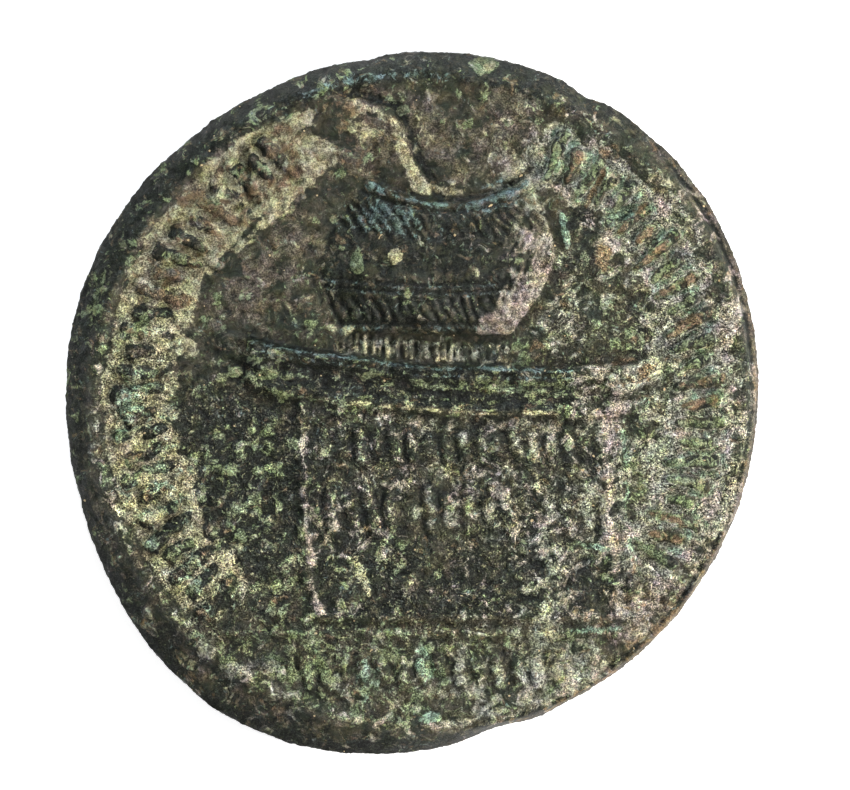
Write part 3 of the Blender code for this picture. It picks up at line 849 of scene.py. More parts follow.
@dataclass
class PrizeCrown:
    """The barrel-shaped crown on the altar: hoops, hatched bands and a sagging rim."""

    foot: float = 2.75
    tall: float = 6.25
    rim_sag: float = 0.95
    foot_x: float = 0.62
    top_x: float = 1.46
    foot_half: float = 3.3
    top_half: float = 3.15
    bulge: float = 1.4
    rise: float = 0.68
    side: float = 0.15

    def place(self, x: Array, y: Array) -> tuple[Array, Array]:
        """Where a place lies on the crown: from -1 to 1 across it, and from 0 to 1 up it.

        Args:
            x: Places in X.
            y: Places in Y.

        Returns:
            From -1 to 1 across the crown, and from 0 to 1 up it.
        """
        up = (y - self.foot) / (self.tall - self.rim_sag)
        across = np.zeros_like(x)
        for _ in range(6):
            near = np.clip(up, -0.3, 1.3)
            half = self.foot_half + (self.top_half - self.foot_half) * near
            half = half + self.bulge * np.sin(math.pi * np.clip(near, 0.0, 1.0))
            across = (x - self.foot_x - (self.top_x - self.foot_x) * near) / half
            sag = self.rim_sag * (1 - np.clip(across, -1.0, 1.0) ** 2)
            up = (y - self.foot) / (self.tall - sag)
        return across, up

    def shape(self, sheet: Sheet) -> None:
        """Raises the crown and dresses it.

        Args:
            sheet: The chart.
        """
        across, up = self.place(sheet.x, sheet.y)
        on = smooth(1.03, 0.97, np.abs(across)) * smooth(-0.02, 0.015, up) * smooth(1.015, 0.985, up)
        u = np.clip(np.abs(across), 0.0, 1.0)
        v = np.clip(up, 0.0, 1.0)
        lean = 0.5 + 0.45 * smooth(0.0, -0.8, across)
        dome = (1 - u**2) ** lean * (1 - (2 * v - 1) ** 6)
        side = self.side * smooth(-1.0, 0.4, across)
        sheet.height += on * (side + (self.rise - side) * dome)
        self.shape_hoops(sheet, on, up)
        self.shape_hatch(sheet, on, across, up)
        self.dress(sheet, on, across, up)

    def shape_hoops(self, sheet: Sheet, on: Array, up: Array) -> None:
        """The hoops round its foot and waist, and the lip of its rim.

        Args:
            sheet: The chart.
            on: Share of the crown at each place.
            up: How far up the crown each place lies, from 0 to 1.
        """
        for level, rise, wide in ((0.035, 0.1, 0.02), (0.29, 0.1, 0.014), (0.345, 0.08, 0.013)):
            sheet.height += on * rise * bell(up - level, wide)
            # painted bluish highlight along the top of each hoop
            sheet.add(steel=on * 0.3 * bell(up - level - 0.004, wide))
        for level, wide in ((0.317, 0.012), (0.075, 0.014), (0.37, 0.012), (0.925, 0.012)):
            sheet.height -= on * 0.12 * bell(up - level, wide)
            # painted shade in each sunk groove
            sheet.add(soot=on * 0.8 * bell(up - level, wide))
        sheet.height += on * 0.18 * bell(up - 0.972, 0.024)

    def shape_hatch(self, sheet: Sheet, on: Array, across: Array, up: Array) -> None:
        """The two bands of slanting ticks.

        Args:
            sheet: The chart.
            on: Share of the crown at each place.
            across: How far across it, from -1 to 1.
            up: How far up the crown each place lies, from 0 to 1.
        """
        for low, high, pitch, lean, depth in ((0.09, 0.27, 0.43, 0.45, 0.09), (0.7, 0.9, 0.42, 0.75, 0.1)):
            band = smooth(low - 0.01, low + 0.02, up) * smooth(high + 0.01, high - 0.02, up)
            run = sheet.x + lean * sheet.y + 0.25 * sheet.noise(1.1, 61, 2)
            wave = np.sin(math.tau * run / pitch)
            sheet.height += on * band * depth * np.clip(wave, -1.0, 0.4)
            # painted shade in the ticks' troughs
            sheet.add(soot=on * band * 0.5 * smooth(-0.1, -0.8, wave))
            # painted bluish highlight on the ticks' crests in the upper band
            cold = smooth(0.3, -0.5, across) if low > 0.5 else 0.0
            sheet.add(steel=on * band * 0.5 * cold * smooth(0.1, 0.8, wave))
            sheet.add(crumb=on * band * 0.2 * smooth(0.2, 0.8, wave))
        flank = on * smooth(0.5, 0.7, across) * smooth(0.0, 0.06, up) * smooth(0.85, 0.7, up)
        run = sheet.x * 0.94 + sheet.y * -0.34 + 0.2 * sheet.noise(1.4, 63, 2)
        sheet.height += 0.05 * flank * np.sin(math.tau * run / 0.36)

    def dress(self, sheet: Sheet, on: Array, across: Array, up: Array) -> None:
        """Lays the coats: black body, a rosy right flank painted pale as a warm highlight, painted bluish
        highlights on the rim, painted shade in the crevice above the rim and along the left edge, and sand
        above the rim.

        Args:
            sheet: The chart.
            on: Share of the crown at each place.
            across: How far across it, from -1 to 1.
            up: How far up the crown each place lies, from 0 to 1.
        """
        drift = sheet.noise(1.4, 64)
        sheet.add(on * smooth(0.85, 0.6, across), soot=0.62 + 0.4 * drift, warm=0.2 - 0.5 * drift)
        # rosy patina on the right flank, painted pale as the warm key light's highlight
        flank = smooth(0.6, 0.86, across + 0.2 * drift + 0.16 * smooth(0.5, 0.1, up))
        strand = cloud(sheet.x * 0.94 + sheet.y * -0.34, 0.3 * sheet.y, 0.5, 66, octaves=3)
        sheet.add(blush=on * (1.0 + 1.0 * strand) * flank * smooth(0.8, 0.6, up))
        sheet.add(warm=on * (0.3 - strand) * flank)
        sheet.add(ash=on * 0.3 * flank * smooth(0.6, 0.85, up))
        # painted bluish highlights on the rim's lip and the upper bands
        sheet.add(steel=on * (0.6 + 0.5 * drift) * bell(up - 0.975, 0.017))
        cold = on * smooth(0.66, 0.78, up) * smooth(0.2, -0.4, across)
        sheet.add(steel=cold * (0.15 + 0.6 * drift))
        sheet.add(steel=on * 0.35 * smooth(0.86, 0.9, up) * smooth(0.0, 0.3, across))
        # painted shade: a dark line in the crevice above the rim
        beyond = smooth(1.0, 0.85, np.abs(across))
        sheet.height -= 0.08 * beyond * bell(up - 1.03, 0.02)
        sheet.add(soot=0.5 * beyond * bell(up - 1.025, 0.016))
        sheet.add(sand=1.0 * bell(sheet.x - 1.1, 1.5) * bell(up - 1.085, 0.045))
        # painted bluish highlight above the rim's right part
        sheet.add(steel=0.4 * bell(sheet.x - 3.4, 1.1) * bell(up - 1.07, 0.035))
        # painted shade along the crown's left edge, away from the key light
        shade = smooth(1.25, 1.0, -across) * smooth(0.95, 1.05, -across) * smooth(-0.1, 0.3, up)
        sheet.add(soot=0.3 * shade * smooth(1.0, 0.8, up))


@dataclass
class Fringe:
    """Short pale uprights between the crown and the slab."""

    altar: Altar
    first: float = -2.95
    last: float = 3.9
    count: int = 22
    length: float = 0.7
    lift: float = 0.56

    def shape(self, sheet: Sheet) -> None:
        """Raises the uprights on a pale ground.

        Args:
            sheet: The chart.
        """
        level = sheet.y - self.altar.middle_y(sheet.x) - self.altar.half_height - self.lift
        ends = smooth(self.first - 0.3, self.first + 0.1, sheet.x)
        ends = ends * smooth(self.last + 0.5, self.last - 0.2, sheet.x)
        ground = ends * smooth(0.62, 0.3, np.abs(level))
        sheet.add(ground, soot=-0.8, ash=0.36, sand=0.2 * smooth(0.2, -0.3, level))
        jitter = np.random.default_rng(31).uniform(-1.0, 1.0, (self.count, 3))
        for i, (shift, lean, grow) in enumerate(jitter):
            x = self.first + (self.last - self.first) * (i + 0.5 + 0.28 * shift) / self.count
            y = float(self.altar.middle_y(np.array(x))) + self.altar.half_height + self.lift
            length = self.length * (1 + 0.15 * grow)
            turn = math.radians(90 + 7 * lean)
            bar = Bar(x, y + 0.05 * grow, turn, length, 0.17 + 0.04 * shift, 0.15, 0.14)
            bar.raise_on(sheet)
            bar.coat(sheet, sand=0.25 + 0.25 * grow)
            slit = Bar(x + 0.155, y, turn, length * 0.9, 0.07, -0.08, 0.1)
            slit.raise_on(sheet)
            slit.coat(sheet, soot=0.7 + 0.4 * grow)


@dataclass
class Plume:
    """The low crest that curls up and left from the crown's rim."""

    course: tuple = ((0.55, 8.76), (-0.05, 9.77), (-0.35, 10.79), (-0.85, 11.64), (-2.3, 12.09))

    def shape(self, sheet: Sheet) -> None:
        """Raises the crest: a slope that climbs from the left and drops sharply on its right.

        Args:
            sheet: The chart.
        """
        points = [np.array(p) for p in self.course]
        nearest = np.full(sheet.x.shape, 99.0)
        side = np.ones(sheet.x.shape)
        for start, end in zip(points, points[1:]):
            for step in range(4):
                a = start + (end - start) * step / 4
                b = start + (end - start) * (step + 1) / 4
                run = b - a
                long = float(run @ run)
                t = np.clip(((sheet.x - a[0]) * run[0] + (sheet.y - a[1]) * run[1]) / long, 0.0, 1.0)
                dx = sheet.x - a[0] - run[0] * t
                dy = sheet.y - a[1] - run[1] * t
                gap = np.hypot(dx, dy)
                turn = np.sign(run[0] * dy - run[1] * dx)
                side = np.where(gap < nearest, turn, side)
                nearest = np.minimum(gap, nearest)
        signed = nearest * side
        slope = np.where(signed > 0, bell(signed, 1.0), bell(signed, 0.18))
        sheet.height += 0.24 * slope
        sheet.height -= 0.1 * bell(signed + 0.32, 0.2)
        sheet.add(sand=(0.6 + 0.5 * smooth(10.4, 9.4, sheet.y)) * bell(signed - 0.2, 0.27))
        sheet.add(rust=0.35 * bell(signed - 0.5, 0.5) * smooth(9.2, 10.2, sheet.y))
        # painted shade in the crevice at the foot of the crest's steep right side
        sheet.add(soot=0.85 * bell(signed + 0.3, 0.22))


@dataclass(frozen=True)
class Spot:
    """One patch of a coat that stands out."""

    layer: Layer
    x: float
    y: float
    wide: float
    high: float
    amount: float
    turn: float = 0.0
    rise: float = 0.0


SPOTS = (
    Spot(Layer.SAND, -0.64, 5.96, 0.26, 0.32, 0.8, rise=0.08),
    Spot(Layer.SAND, -2.6, 2.88, 0.24, 0.22, 0.9, rise=0.08),
    Spot(Layer.CRUMB, -2.2, 5.64, 0.3, 0.4, 0.9, rise=0.05),
    Spot(Layer.CRUMB, -4.1, 3.16, 0.2, 0.2, 0.9, rise=0.06),
    Spot(Layer.CRUMB, -7.6, 1.04, 0.25, 0.25, 0.9, rise=0.06),
    Spot(Layer.CRUMB, -7.1, 1.24, 0.22, 0.22, 0.9, rise=0.06),
    Spot(Layer.SOOT, -6.72, 9.4, 0.26, 0.85, 1.0, turn=4.0, rise=-0.2),
    Spot(Layer.SOOT, -6.4, 8.15, 0.22, 0.6, 1.0, turn=32.0, rise=-0.18),
    Spot(Layer.SAND, -7.2, 9.8, 0.3, 0.3, 0.8),
    Spot(Layer.SAND, -7.7, 8.9, 0.4, 0.3, 0.8, rise=0.05),
    Spot(Layer.SAND, -6.9, 7.9, 0.35, 0.3, 0.7),
    Spot(Layer.ASH, -4.6, 9.32, 0.62, 0.56, 0.6, rise=0.06),
    Spot(Layer.RUST, -4.6, 9.32, 0.34, 0.3, 0.6),
    Spot(Layer.SAND, -5.9, 7.15, 2.6, 0.2, 0.6, turn=44.0, rise=0.06),
    Spot(Layer.CRUMB, -7.9, 8.1, 0.45, 0.4, 0.8, rise=0.07),
    Spot(Layer.SOOT, -9.6, 6.9, 0.4, 0.35, 0.9, rise=-0.08),
    Spot(Layer.SOOT, -8.6, 5.8, 0.9, 0.16, 1.0, turn=-36.0, rise=-0.14),
    Spot(Layer.SOOT, -9.7, 3.4, 0.7, 0.14, 1.0, turn=-51.0, rise=-0.12),
    Spot(Layer.RUST, -9.3, 4.1, 0.55, 0.28, 0.6, turn=20.0, rise=0.05),
    Spot(Layer.CRUMB, -10.9, 2.9, 0.5, 0.5, 0.7),
    Spot(Layer.SAND, -11.0, 0.0, 0.55, 0.4, 0.9, rise=0.06),
    Spot(Layer.SAND, -11.4, -1.6, 0.75, 0.4, 0.9, turn=20.0, rise=0.07),
    Spot(Layer.SAND, -10.5, -3.0, 0.5, 0.3, 0.8, rise=0.06),
    Spot(Layer.SAND, -10.9, -4.4, 0.95, 0.36, 0.9, turn=-10.0, rise=0.08),
    Spot(Layer.SAND, -8.2, -7.7, 0.4, 0.5, 0.8, rise=0.04),
    Spot(Layer.CRUMB, -9.1, -7.4, 0.4, 0.4, 0.8, rise=0.06),
    Spot(Layer.SOOT, -4.3, 2.04, 0.75, 0.1, 1.0, turn=-9.0, rise=-0.16),
    Spot(Layer.SOOT, 4.12, 8.72, 0.26, 0.2, 1.0, rise=-0.16),
    Spot(Layer.SOOT, 4.92, 9.24, 0.26, 0.22, 1.0, rise=-0.14),
    Spot(Layer.RUST, 7.6, 5.84, 0.32, 0.46, 1.0, rise=0.05),
    Spot(Layer.RUST, 7.9, 10.0, 0.42, 0.34, 0.6),
    Spot(Layer.RUST, 7.4, 8.7, 0.9, 0.13, 0.85, turn=64.0),
    Spot(Layer.ASH, 7.9, 8.9, 0.5, 1.0, 0.5, turn=-20.0),
    Spot(Layer.VERDIGRIS, 6.1, 7.0, 0.16, 0.95, 0.8, turn=12.0, rise=0.08),
    Spot(Layer.SOOT, 6.75, 7.4, 0.6, 0.55, 0.85),
    Spot(Layer.ASH, 8.6, 8.3, 0.95, 0.34, 0.8, turn=10.0, rise=0.06),
    Spot(Layer.VERDIGRIS, 8.6, 7.6, 0.95, 0.28, 0.6, turn=12.0, rise=-0.08),
    Spot(Layer.BLUSH, 12.8, 4.0, 0.5, 1.3, 0.6),
    Spot(Layer.RUST, 10.9, 3.3, 0.6, 0.16, 0.7, turn=30.0),
    Spot(Layer.RUST, 8.4, 1.64, 0.5, 0.16, 0.7, turn=12.0),
    Spot(Layer.CRUMB, 2.9, 13.55, 0.55, 0.34, 1.2),
    Spot(Layer.SAND, 3.1, 13.5, 0.3, 0.2, 0.7),
    Spot(Layer.VERDIGRIS, 0.8, -12.55, 0.5, 0.2, 0.9, turn=10.0, rise=0.06),
    Spot(Layer.VERDIGRIS, 0.5, -10.4, 0.4, 0.6, 0.7),
    Spot(Layer.VERDIGRIS, -1.8, -11.1, 0.5, 0.75, 0.55),
    Spot(Layer.VERDIGRIS, 7.3, -9.08, 1.0, 0.11, 1.0, turn=3.0, rise=0.05),
    Spot(Layer.VERDIGRIS, 7.3, -5.75, 0.8, 0.13, 0.7, turn=-12.0),
    Spot(Layer.BLUSH, 3.5, -3.5, 0.3, 0.3, 0.9),
    Spot(Layer.BLUSH, 8.1, -1.1, 0.22, 1.2, 0.8),
    Spot(Layer.SAND, -1.95, -7.0, 0.18, 0.8, 0.8, turn=20.0),
    Spot(Layer.SAND, -2.3, 11.2, 0.9, 0.4, 0.4, turn=-30.0),
)


@dataclass
class Weather:
    """Corrosion: pits, round crusty grains, crumbs, and the patches that stand out."""

    die: Die
    spots: tuple = SPOTS
    crown_level: float = 2.72
    top_level: float = 2.97

    def shape(self, sheet: Sheet) -> None:
        """Wears the finished carving.

        Args:
            sheet: The chart.
        """
        out, _ = self.die.polar(sheet)
        inside = smooth(13.6, 13.0, out)
        self.lay_spots(sheet)
        self.grow_grains(sheet, inside)
        pits = sheet.noise(0.5, 88, 3, 0.8)
        depth = smooth(0.1, 0.6, pits)
        sheet.height -= 0.06 * depth * (0.4 + 0.6 * inside)
        sheet.add(soot=0.35 * depth)
        sheet.height += 0.03 * sheet.noise(0.32, 89, 2, 0.8)
        # nothing stands higher than the coin is thick
        tall = np.maximum(sheet.height - self.crown_level, 0.0)
        room = self.top_level - self.crown_level
        sheet.height += room * np.tanh(tall / room) - tall
        self.find_hollows(sheet)

    def find_hollows(self, sheet: Sheet) -> None:
        """Marks how deep each place lies under its surroundings, for painted shade in hollows and painted
        highlight on rises.

        Args:
            sheet: The chart.
        """
        near = sheet.blurred(sheet.height, 0.16) - sheet.height
        wide = sheet.blurred(sheet.height, 0.45) - sheet.height
        sheet.coats[Layer.HOLLOW] = np.clip(near / 0.06 + 0.6 * wide / 0.1, -1.0, 1.0)

    def lay_spots(self, sheet: Sheet) -> None:
        """Lays the patches, each with a ragged edge.

        Args:
            sheet: The chart.
        """
        for number, spot in enumerate(self.spots):
            part = sheet.around(spot.x, spot.y, 2.2 * max(spot.wide, spot.high) + 0.5)
            x = sheet.x[part]
            y = sheet.y[part]
            turn = math.radians(spot.turn)
            dx = (x - spot.x) * math.cos(turn) + (y - spot.y) * math.sin(turn)
            dy = (y - spot.y) * math.cos(turn) - (x - spot.x) * math.sin(turn)
            far = np.hypot(dx / spot.wide, dy / spot.high) + 0.5 * cloud(x, y, 0.5, 500 + number, 3)
            share = smooth(1.25, 0.75, far)
            sheet.add(share, part, **{spot.layer.value: spot.amount})
            sheet.height[part] += spot.rise * share

    def grow_grains(self, sheet: Sheet, inside: Array) -> None:
        """Grows clusters of crusty lumps, thickest left of the altar.

        Args:
            sheet: The chart.
            inside: Share of the struck face at each place.
        """
        thick = 0.26 * sheet.blob(-6.8, -3.6, 2.4, 3.4)
        thick = thick + 0.24 * sheet.blob(-3.0, -10.0, 5.0, 2.4)
        thick = thick + 0.1 * sheet.blob(7.0, 4.5, 3.0, 3.0)
        thick = thick - 0.24 * sheet.blob(1.2, 6.6, 4.6, 4.4)
        thick = thick + 0.17 + 0.34 * sheet.noise(1.7, 23, 3, 0.7)
        sheet.add(crumb=0.5 * np.clip(thick, -0.1, 0.6) * inside)
        depth, own = grains(sheet.x, sheet.y, 0.5, 21)
        calm = 1 - 0.45 * sheet.blob(3.0, -6.5, 4.0, 6.0)
        here = smooth(0.0, 0.1, thick - own) * inside * calm
        lump = here * smooth(0.02, 0.36, depth)
        sheet.height += 0.09 * (0.6 + 0.4 * own) * lump
        rank = np.clip(own / np.maximum(thick, 0.15), 0.0, 1.0)
        sheet.add(crumb=lump * (0.4 + 0.6 * rank))
        sheet.add(ash=lump * 0.35 * smooth(0.5, 0.2, np.abs(rank - 0.6) * 2))
        sheet.add(warm=lump * 0.5 * smooth(0.35, 0.1, rank))
        sheet.add(soot=here * smooth(0.3, 0.05, depth) * 0.6)


# The back


@dataclass
class BackFace:
    """The back: a flat land, a sunk field, a wreath and a worn ring of strokes."""

    die: Die
    land_inner: float = 12.35
    land_slope: float = 0.3
    recess: float = 0.25
    wreath_radius: float = 7.4
    wreath_gap: float = 16.0
    pairs: int = 9
    leaf_length: float = 2.0
    leaf_width: float = 0.95
    leaf_reach: float = 0.68
    splay: float = 24.0
    relief: float = 0.18
    tie: float = 1.6
    strokes: int = 34
    stroke_radius: float = 10.9
    stroke: tuple = (1.5, 0.44, -0.16, 0.3)
    highest: float = 0.34

    def shape(self, sheet: Sheet) -> None:
        """Fills the chart with the back's height over the surface that the coin lies on.

        Args:
            sheet: The chart.
        """
        out = np.hypot(sheet.x, sheet.y)
        sheet.height += self.recess * smooth(self.land_inner, self.land_inner - self.land_slope, out)
        sheet.height += smooth(12.0, 11.0, out) * 0.03 * sheet.noise(2.8, 14)
        length, width, rise, soft = self.stroke
        for index in range(self.strokes):
            share, lean = rhythm(index)
            turn = math.tau * (index + 0.5) / self.strokes
            x = self.die.x + self.stroke_radius * math.cos(turn)
            y = self.die.y + self.stroke_radius * math.sin(turn)
            Bar(x, y, turn + math.radians(lean), length * share, width, rise, soft).raise_on(sheet)
        for side in (-1, 1):
            for pair in range(self.pairs):
                self.shape_leaves(sheet, side, (pair + 0.9) / (self.pairs + 0.4))
        self.bump(sheet, 0.0, -self.wreath_radius, 0.0, self.tie, self.tie)
        crust = smooth(12.2, 11.6, out)
        sheet.height -= crust * 0.03 * sheet.noise(0.8, 77, 3, 0.7)
        sheet.height = np.clip(sheet.height, 0.0, self.highest)

    def shape_leaves(self, sheet: Sheet, side: int, along: float) -> None:
        """Raises the two leaves of one pair.

        Args:
            sheet: The chart.
            side: -1 for the wreath's left half, 1 for its right one.
            along: How far along that half, from 0 to 1.
        """
        turn = math.radians(-90 + side * (180 - self.wreath_gap) * along)
        growth = turn + side * math.pi / 2
        for splay in (-1, 1):
            reach = self.wreath_radius - side * splay * self.leaf_reach
            x = reach * math.cos(turn)
            y = reach * math.sin(turn)
            lie = growth + splay * math.radians(self.splay)
            self.bump(sheet, x, y, lie, self.leaf_length, self.leaf_width)

    def bump(self, sheet: Sheet, x: float, y: float, turn: float, long: float, wide: float) -> None:
        """Raises one low oval out of the back.

        Args:
            sheet: The chart.
            x: Its middle in X.
            y: Its middle in Y.
            turn: Direction of its length, in radians.
            long: Its length.
            wide: Its width.
        """
        part = sheet.around(x, y, long)
        dx = sheet.x[part] - x
        dy = sheet.y[part] - y
        along = (dx * math.cos(turn) + dy * math.sin(turn)) / (long / 2)
        across = (dy * math.cos(turn) - dx * math.sin(turn)) / (wide / 2)
        dome = np.clip(1 - along**2 - across**2, 0.0, 1.0)
        sheet.height[part] -= self.relief * np.sqrt(dome) * (1 - 0.3 * bell(across, 0.16))

    def dress(self, sheet: Sheet) -> None:
        """Lays plain coats on the back, dark on the relief and paler round it.

        Args:
            sheet: The chart.
        """
        raised = smooth(0.02, 0.08, sheet.blurred(sheet.height, 1.2) - sheet.height)
        beside = smooth(0.0, 0.04, sheet.height - sheet.blurred(sheet.height, 0.8)) * (1 - raised)
        sheet.add(sand=-0.1 + 0.45 * beside + 0.3 * sheet.noise(3.0, 401))
        sheet.add(crumb=0.1 - 0.4 * raised + 0.3 * sheet.noise(1.6, 402))
        sheet.add(warm=0.8 * raised)
        sheet.add(soot=0.2 + 0.3 * sheet.noise(2.2, 403))
        # depth map for painted shade in the back's hollows and painted highlight on its rises
        sunk = sheet.height - sheet.blurred(sheet.height, 0.3)
        sheet.coats[Layer.HOLLOW] = np.clip(sunk / 0.05, -1.0, 1.0)


# The mesh


def disc_from_square(x: Array, y: Array) -> tuple[Array, Array]:
    """Turns places in the square from -1 to 1 into distance and direction in a round disc.

    Args:
        x: Places in X.
        y: Places in Y.

    Returns:
        Distance from 0 to 1, and direction in radians.
    """
    wide = np.abs(x) >= np.abs(y)
    safe_x = np.where(wide & (x != 0), x, 1.0)
    safe_y = np.where(~wide, y, 1.0)
    side = math.pi / 4 * y / safe_x + np.where(x < 0, math.pi, 0.0)
    top = math.pi / 2 - math.pi / 4 * x / safe_y + np.where(y < 0, math.pi, 0.0)
    direction = np.where(wide, side, top)
    direction = np.remainder(direction + math.pi, math.tau) - math.pi
    return np.maximum(np.abs(x), np.abs(y)), direction


@dataclass
class CoinMesh:
    """The coin's one closed mesh: a fine face, a wall of a few rings and a plainer back."""

    outline: Outline
    face_cells: int = 272
    back_cells: int = 136
    edge_high: float = 1.42
    # rings of the wall: how far each lies inside the outline, and its height
    wall: tuple = ((0.0, 1.12), (0.0, 0.78), (0.1, 0.44), (0.3, 0.16), (0.56, 0.0))
    back_inset: float = 0.62
    # levels in Z that mark the face, the wall's rings and the back in the flat pattern
    face_mark: float = 1.0
    ring_marks: tuple = (0.9, 0.8, 0.7, 0.6, 0.5)
    back_mark: float = -1.0
    crowding: float = 0.05

    def topology(self) -> bpy.types.Mesh:
        """Makes the mesh as a flat pattern, its level in Z telling the face, wall and back apart.

        Returns:
            The flat mesh.
        """
        bm = bmesh.new()
        face = bmesh.ops.create_grid(bm, x_segments=self.face_cells, y_segments=self.face_cells, size=1.0)
        for vertex in face["verts"]:
            vertex.co.z = self.face_mark
        ring = [edge for edge in bm.edges if edge.is_boundary]
        for mark in self.ring_marks:
            grown = bmesh.ops.extrude_edge_only(bm, edges=ring)["geom"]
            for item in grown:
                if isinstance(item, bmesh.types.BMVert):
                    item.co.z = mark
            ring = [item for item in grown if isinstance(item, bmesh.types.BMEdge)]
        back = bmesh.ops.create_grid(bm, x_segments=self.back_cells, y_segments=self.back_cells, size=1.0)
        for vertex in back["verts"]:
            vertex.co.z = self.back_mark
        rim = {edge for vertex in back["verts"] for edge in vertex.link_edges if edge.is_boundary}
        bmesh.ops.bridge_loops(bm, edges=ring + list(rim))
        bmesh.ops.recalc_face_normals(bm, faces=bm.faces)
        mesh = bpy.data.meshes.new("struck_coin")
        bm.to_mesh(mesh)
        bm.free()
        return mesh

    def build(self, face: Sheet, back: Sheet) -> bpy.types.Object:
        """Shapes the mesh by the two charts and gives it their coats.

        Args:
            face: Chart of the side that shows.
            back: Chart of the side that the coin lies on.

        Returns:
            The finished object.
        """
        mesh = self.topology()
        count = len(mesh.vertices)
        flat = np.empty(count * 3)
        mesh.vertices.foreach_get("co", flat)
        flat = flat.reshape(-1, 3)
        share, direction = disc_from_square(flat[:, 0], flat[:, 1])
        level = flat[:, 2]
        on_face = np.isclose(level, self.face_mark)
        on_back = np.isclose(level, self.back_mark)
        edge = self.outline.reach(direction)
        place = np.zeros((count, 3))
        inset = np.zeros(count)
        height = np.full(count, self.edge_high)
        for mark, (inside, up) in zip(self.ring_marks, self.wall):
            ring = np.isclose(level, mark)
            inset[ring] = inside
            height[ring] = up
        # the face's rings lie closer together near its edge
        spread = np.where(on_face, share + self.crowding * (share - share**10), share)
        inset[on_back] = self.back_inset
        chips = self.outline.chipped(direction, height) * smooth(0.93, 1.0, spread) * ~on_back
        radius = spread * (edge - inset) + chips
        place[:, 0] = self.outline.middle_x + radius * np.cos(direction)
        place[:, 1] = self.outline.middle_y + radius * np.sin(direction)
        place[:, 2] = height
        x = place[:, 0]
        y = place[:, 1]
        place[on_face, 2] = face.read(face.height, x, y)[on_face]
        place[on_back, 2] = back.read(back.height, x, y)[on_back]
        mesh.vertices.foreach_set("co", (place * MM).ravel())
        for layer in Layer:
            values = face.read(face.coats[layer], x, y)
            values[on_back] = back.read(back.coats[layer], x, y)[on_back]
            store = mesh.attributes.new(layer.value, "FLOAT", "POINT")
            store.data.foreach_set("value", values.astype(np.float32))
        mesh.shade_smooth()
        mesh.update()
        coin = bpy.data.objects.new("struck_coin", mesh)
        bpy.context.collection.objects.link(coin)
        return coin


# Materials

Value = Union["Socket", float, int]


class Socket:
    """One output socket of a material, on which sums are written as in Python."""

    def __init__(self, maker: "Shader", socket: bpy.types.NodeSocket) -> None:
        """Keeps the socket and the material that it is in."""
        self.maker = maker
        self.socket = socket

    def sum_with(self, operation: str, *others: Value) -> "Socket":
        """One Math node with this socket first."""
        inputs = {number: value for number, value in enumerate((self, *others))}
        return self.maker.node("ShaderNodeMath", {"operation": operation}, inputs)

    def __add__(self, other: Value) -> "Socket":
        """Sum."""
        return self.sum_with("ADD", other)

    __radd__ = __add__

    def __mul__(self, other: Value) -> "Socket":
        """Product."""
        return self.sum_with("MULTIPLY", other)

    __rmul__ = __mul__

    def __sub__(self, other: Value) -> "Socket":
        """Difference."""
        return self.sum_with("SUBTRACT", other)

    def __rsub__(self, other: Value) -> "Socket":
        """Difference from a number."""
        return self.sum_with("MULTIPLY_ADD", -1.0, other)


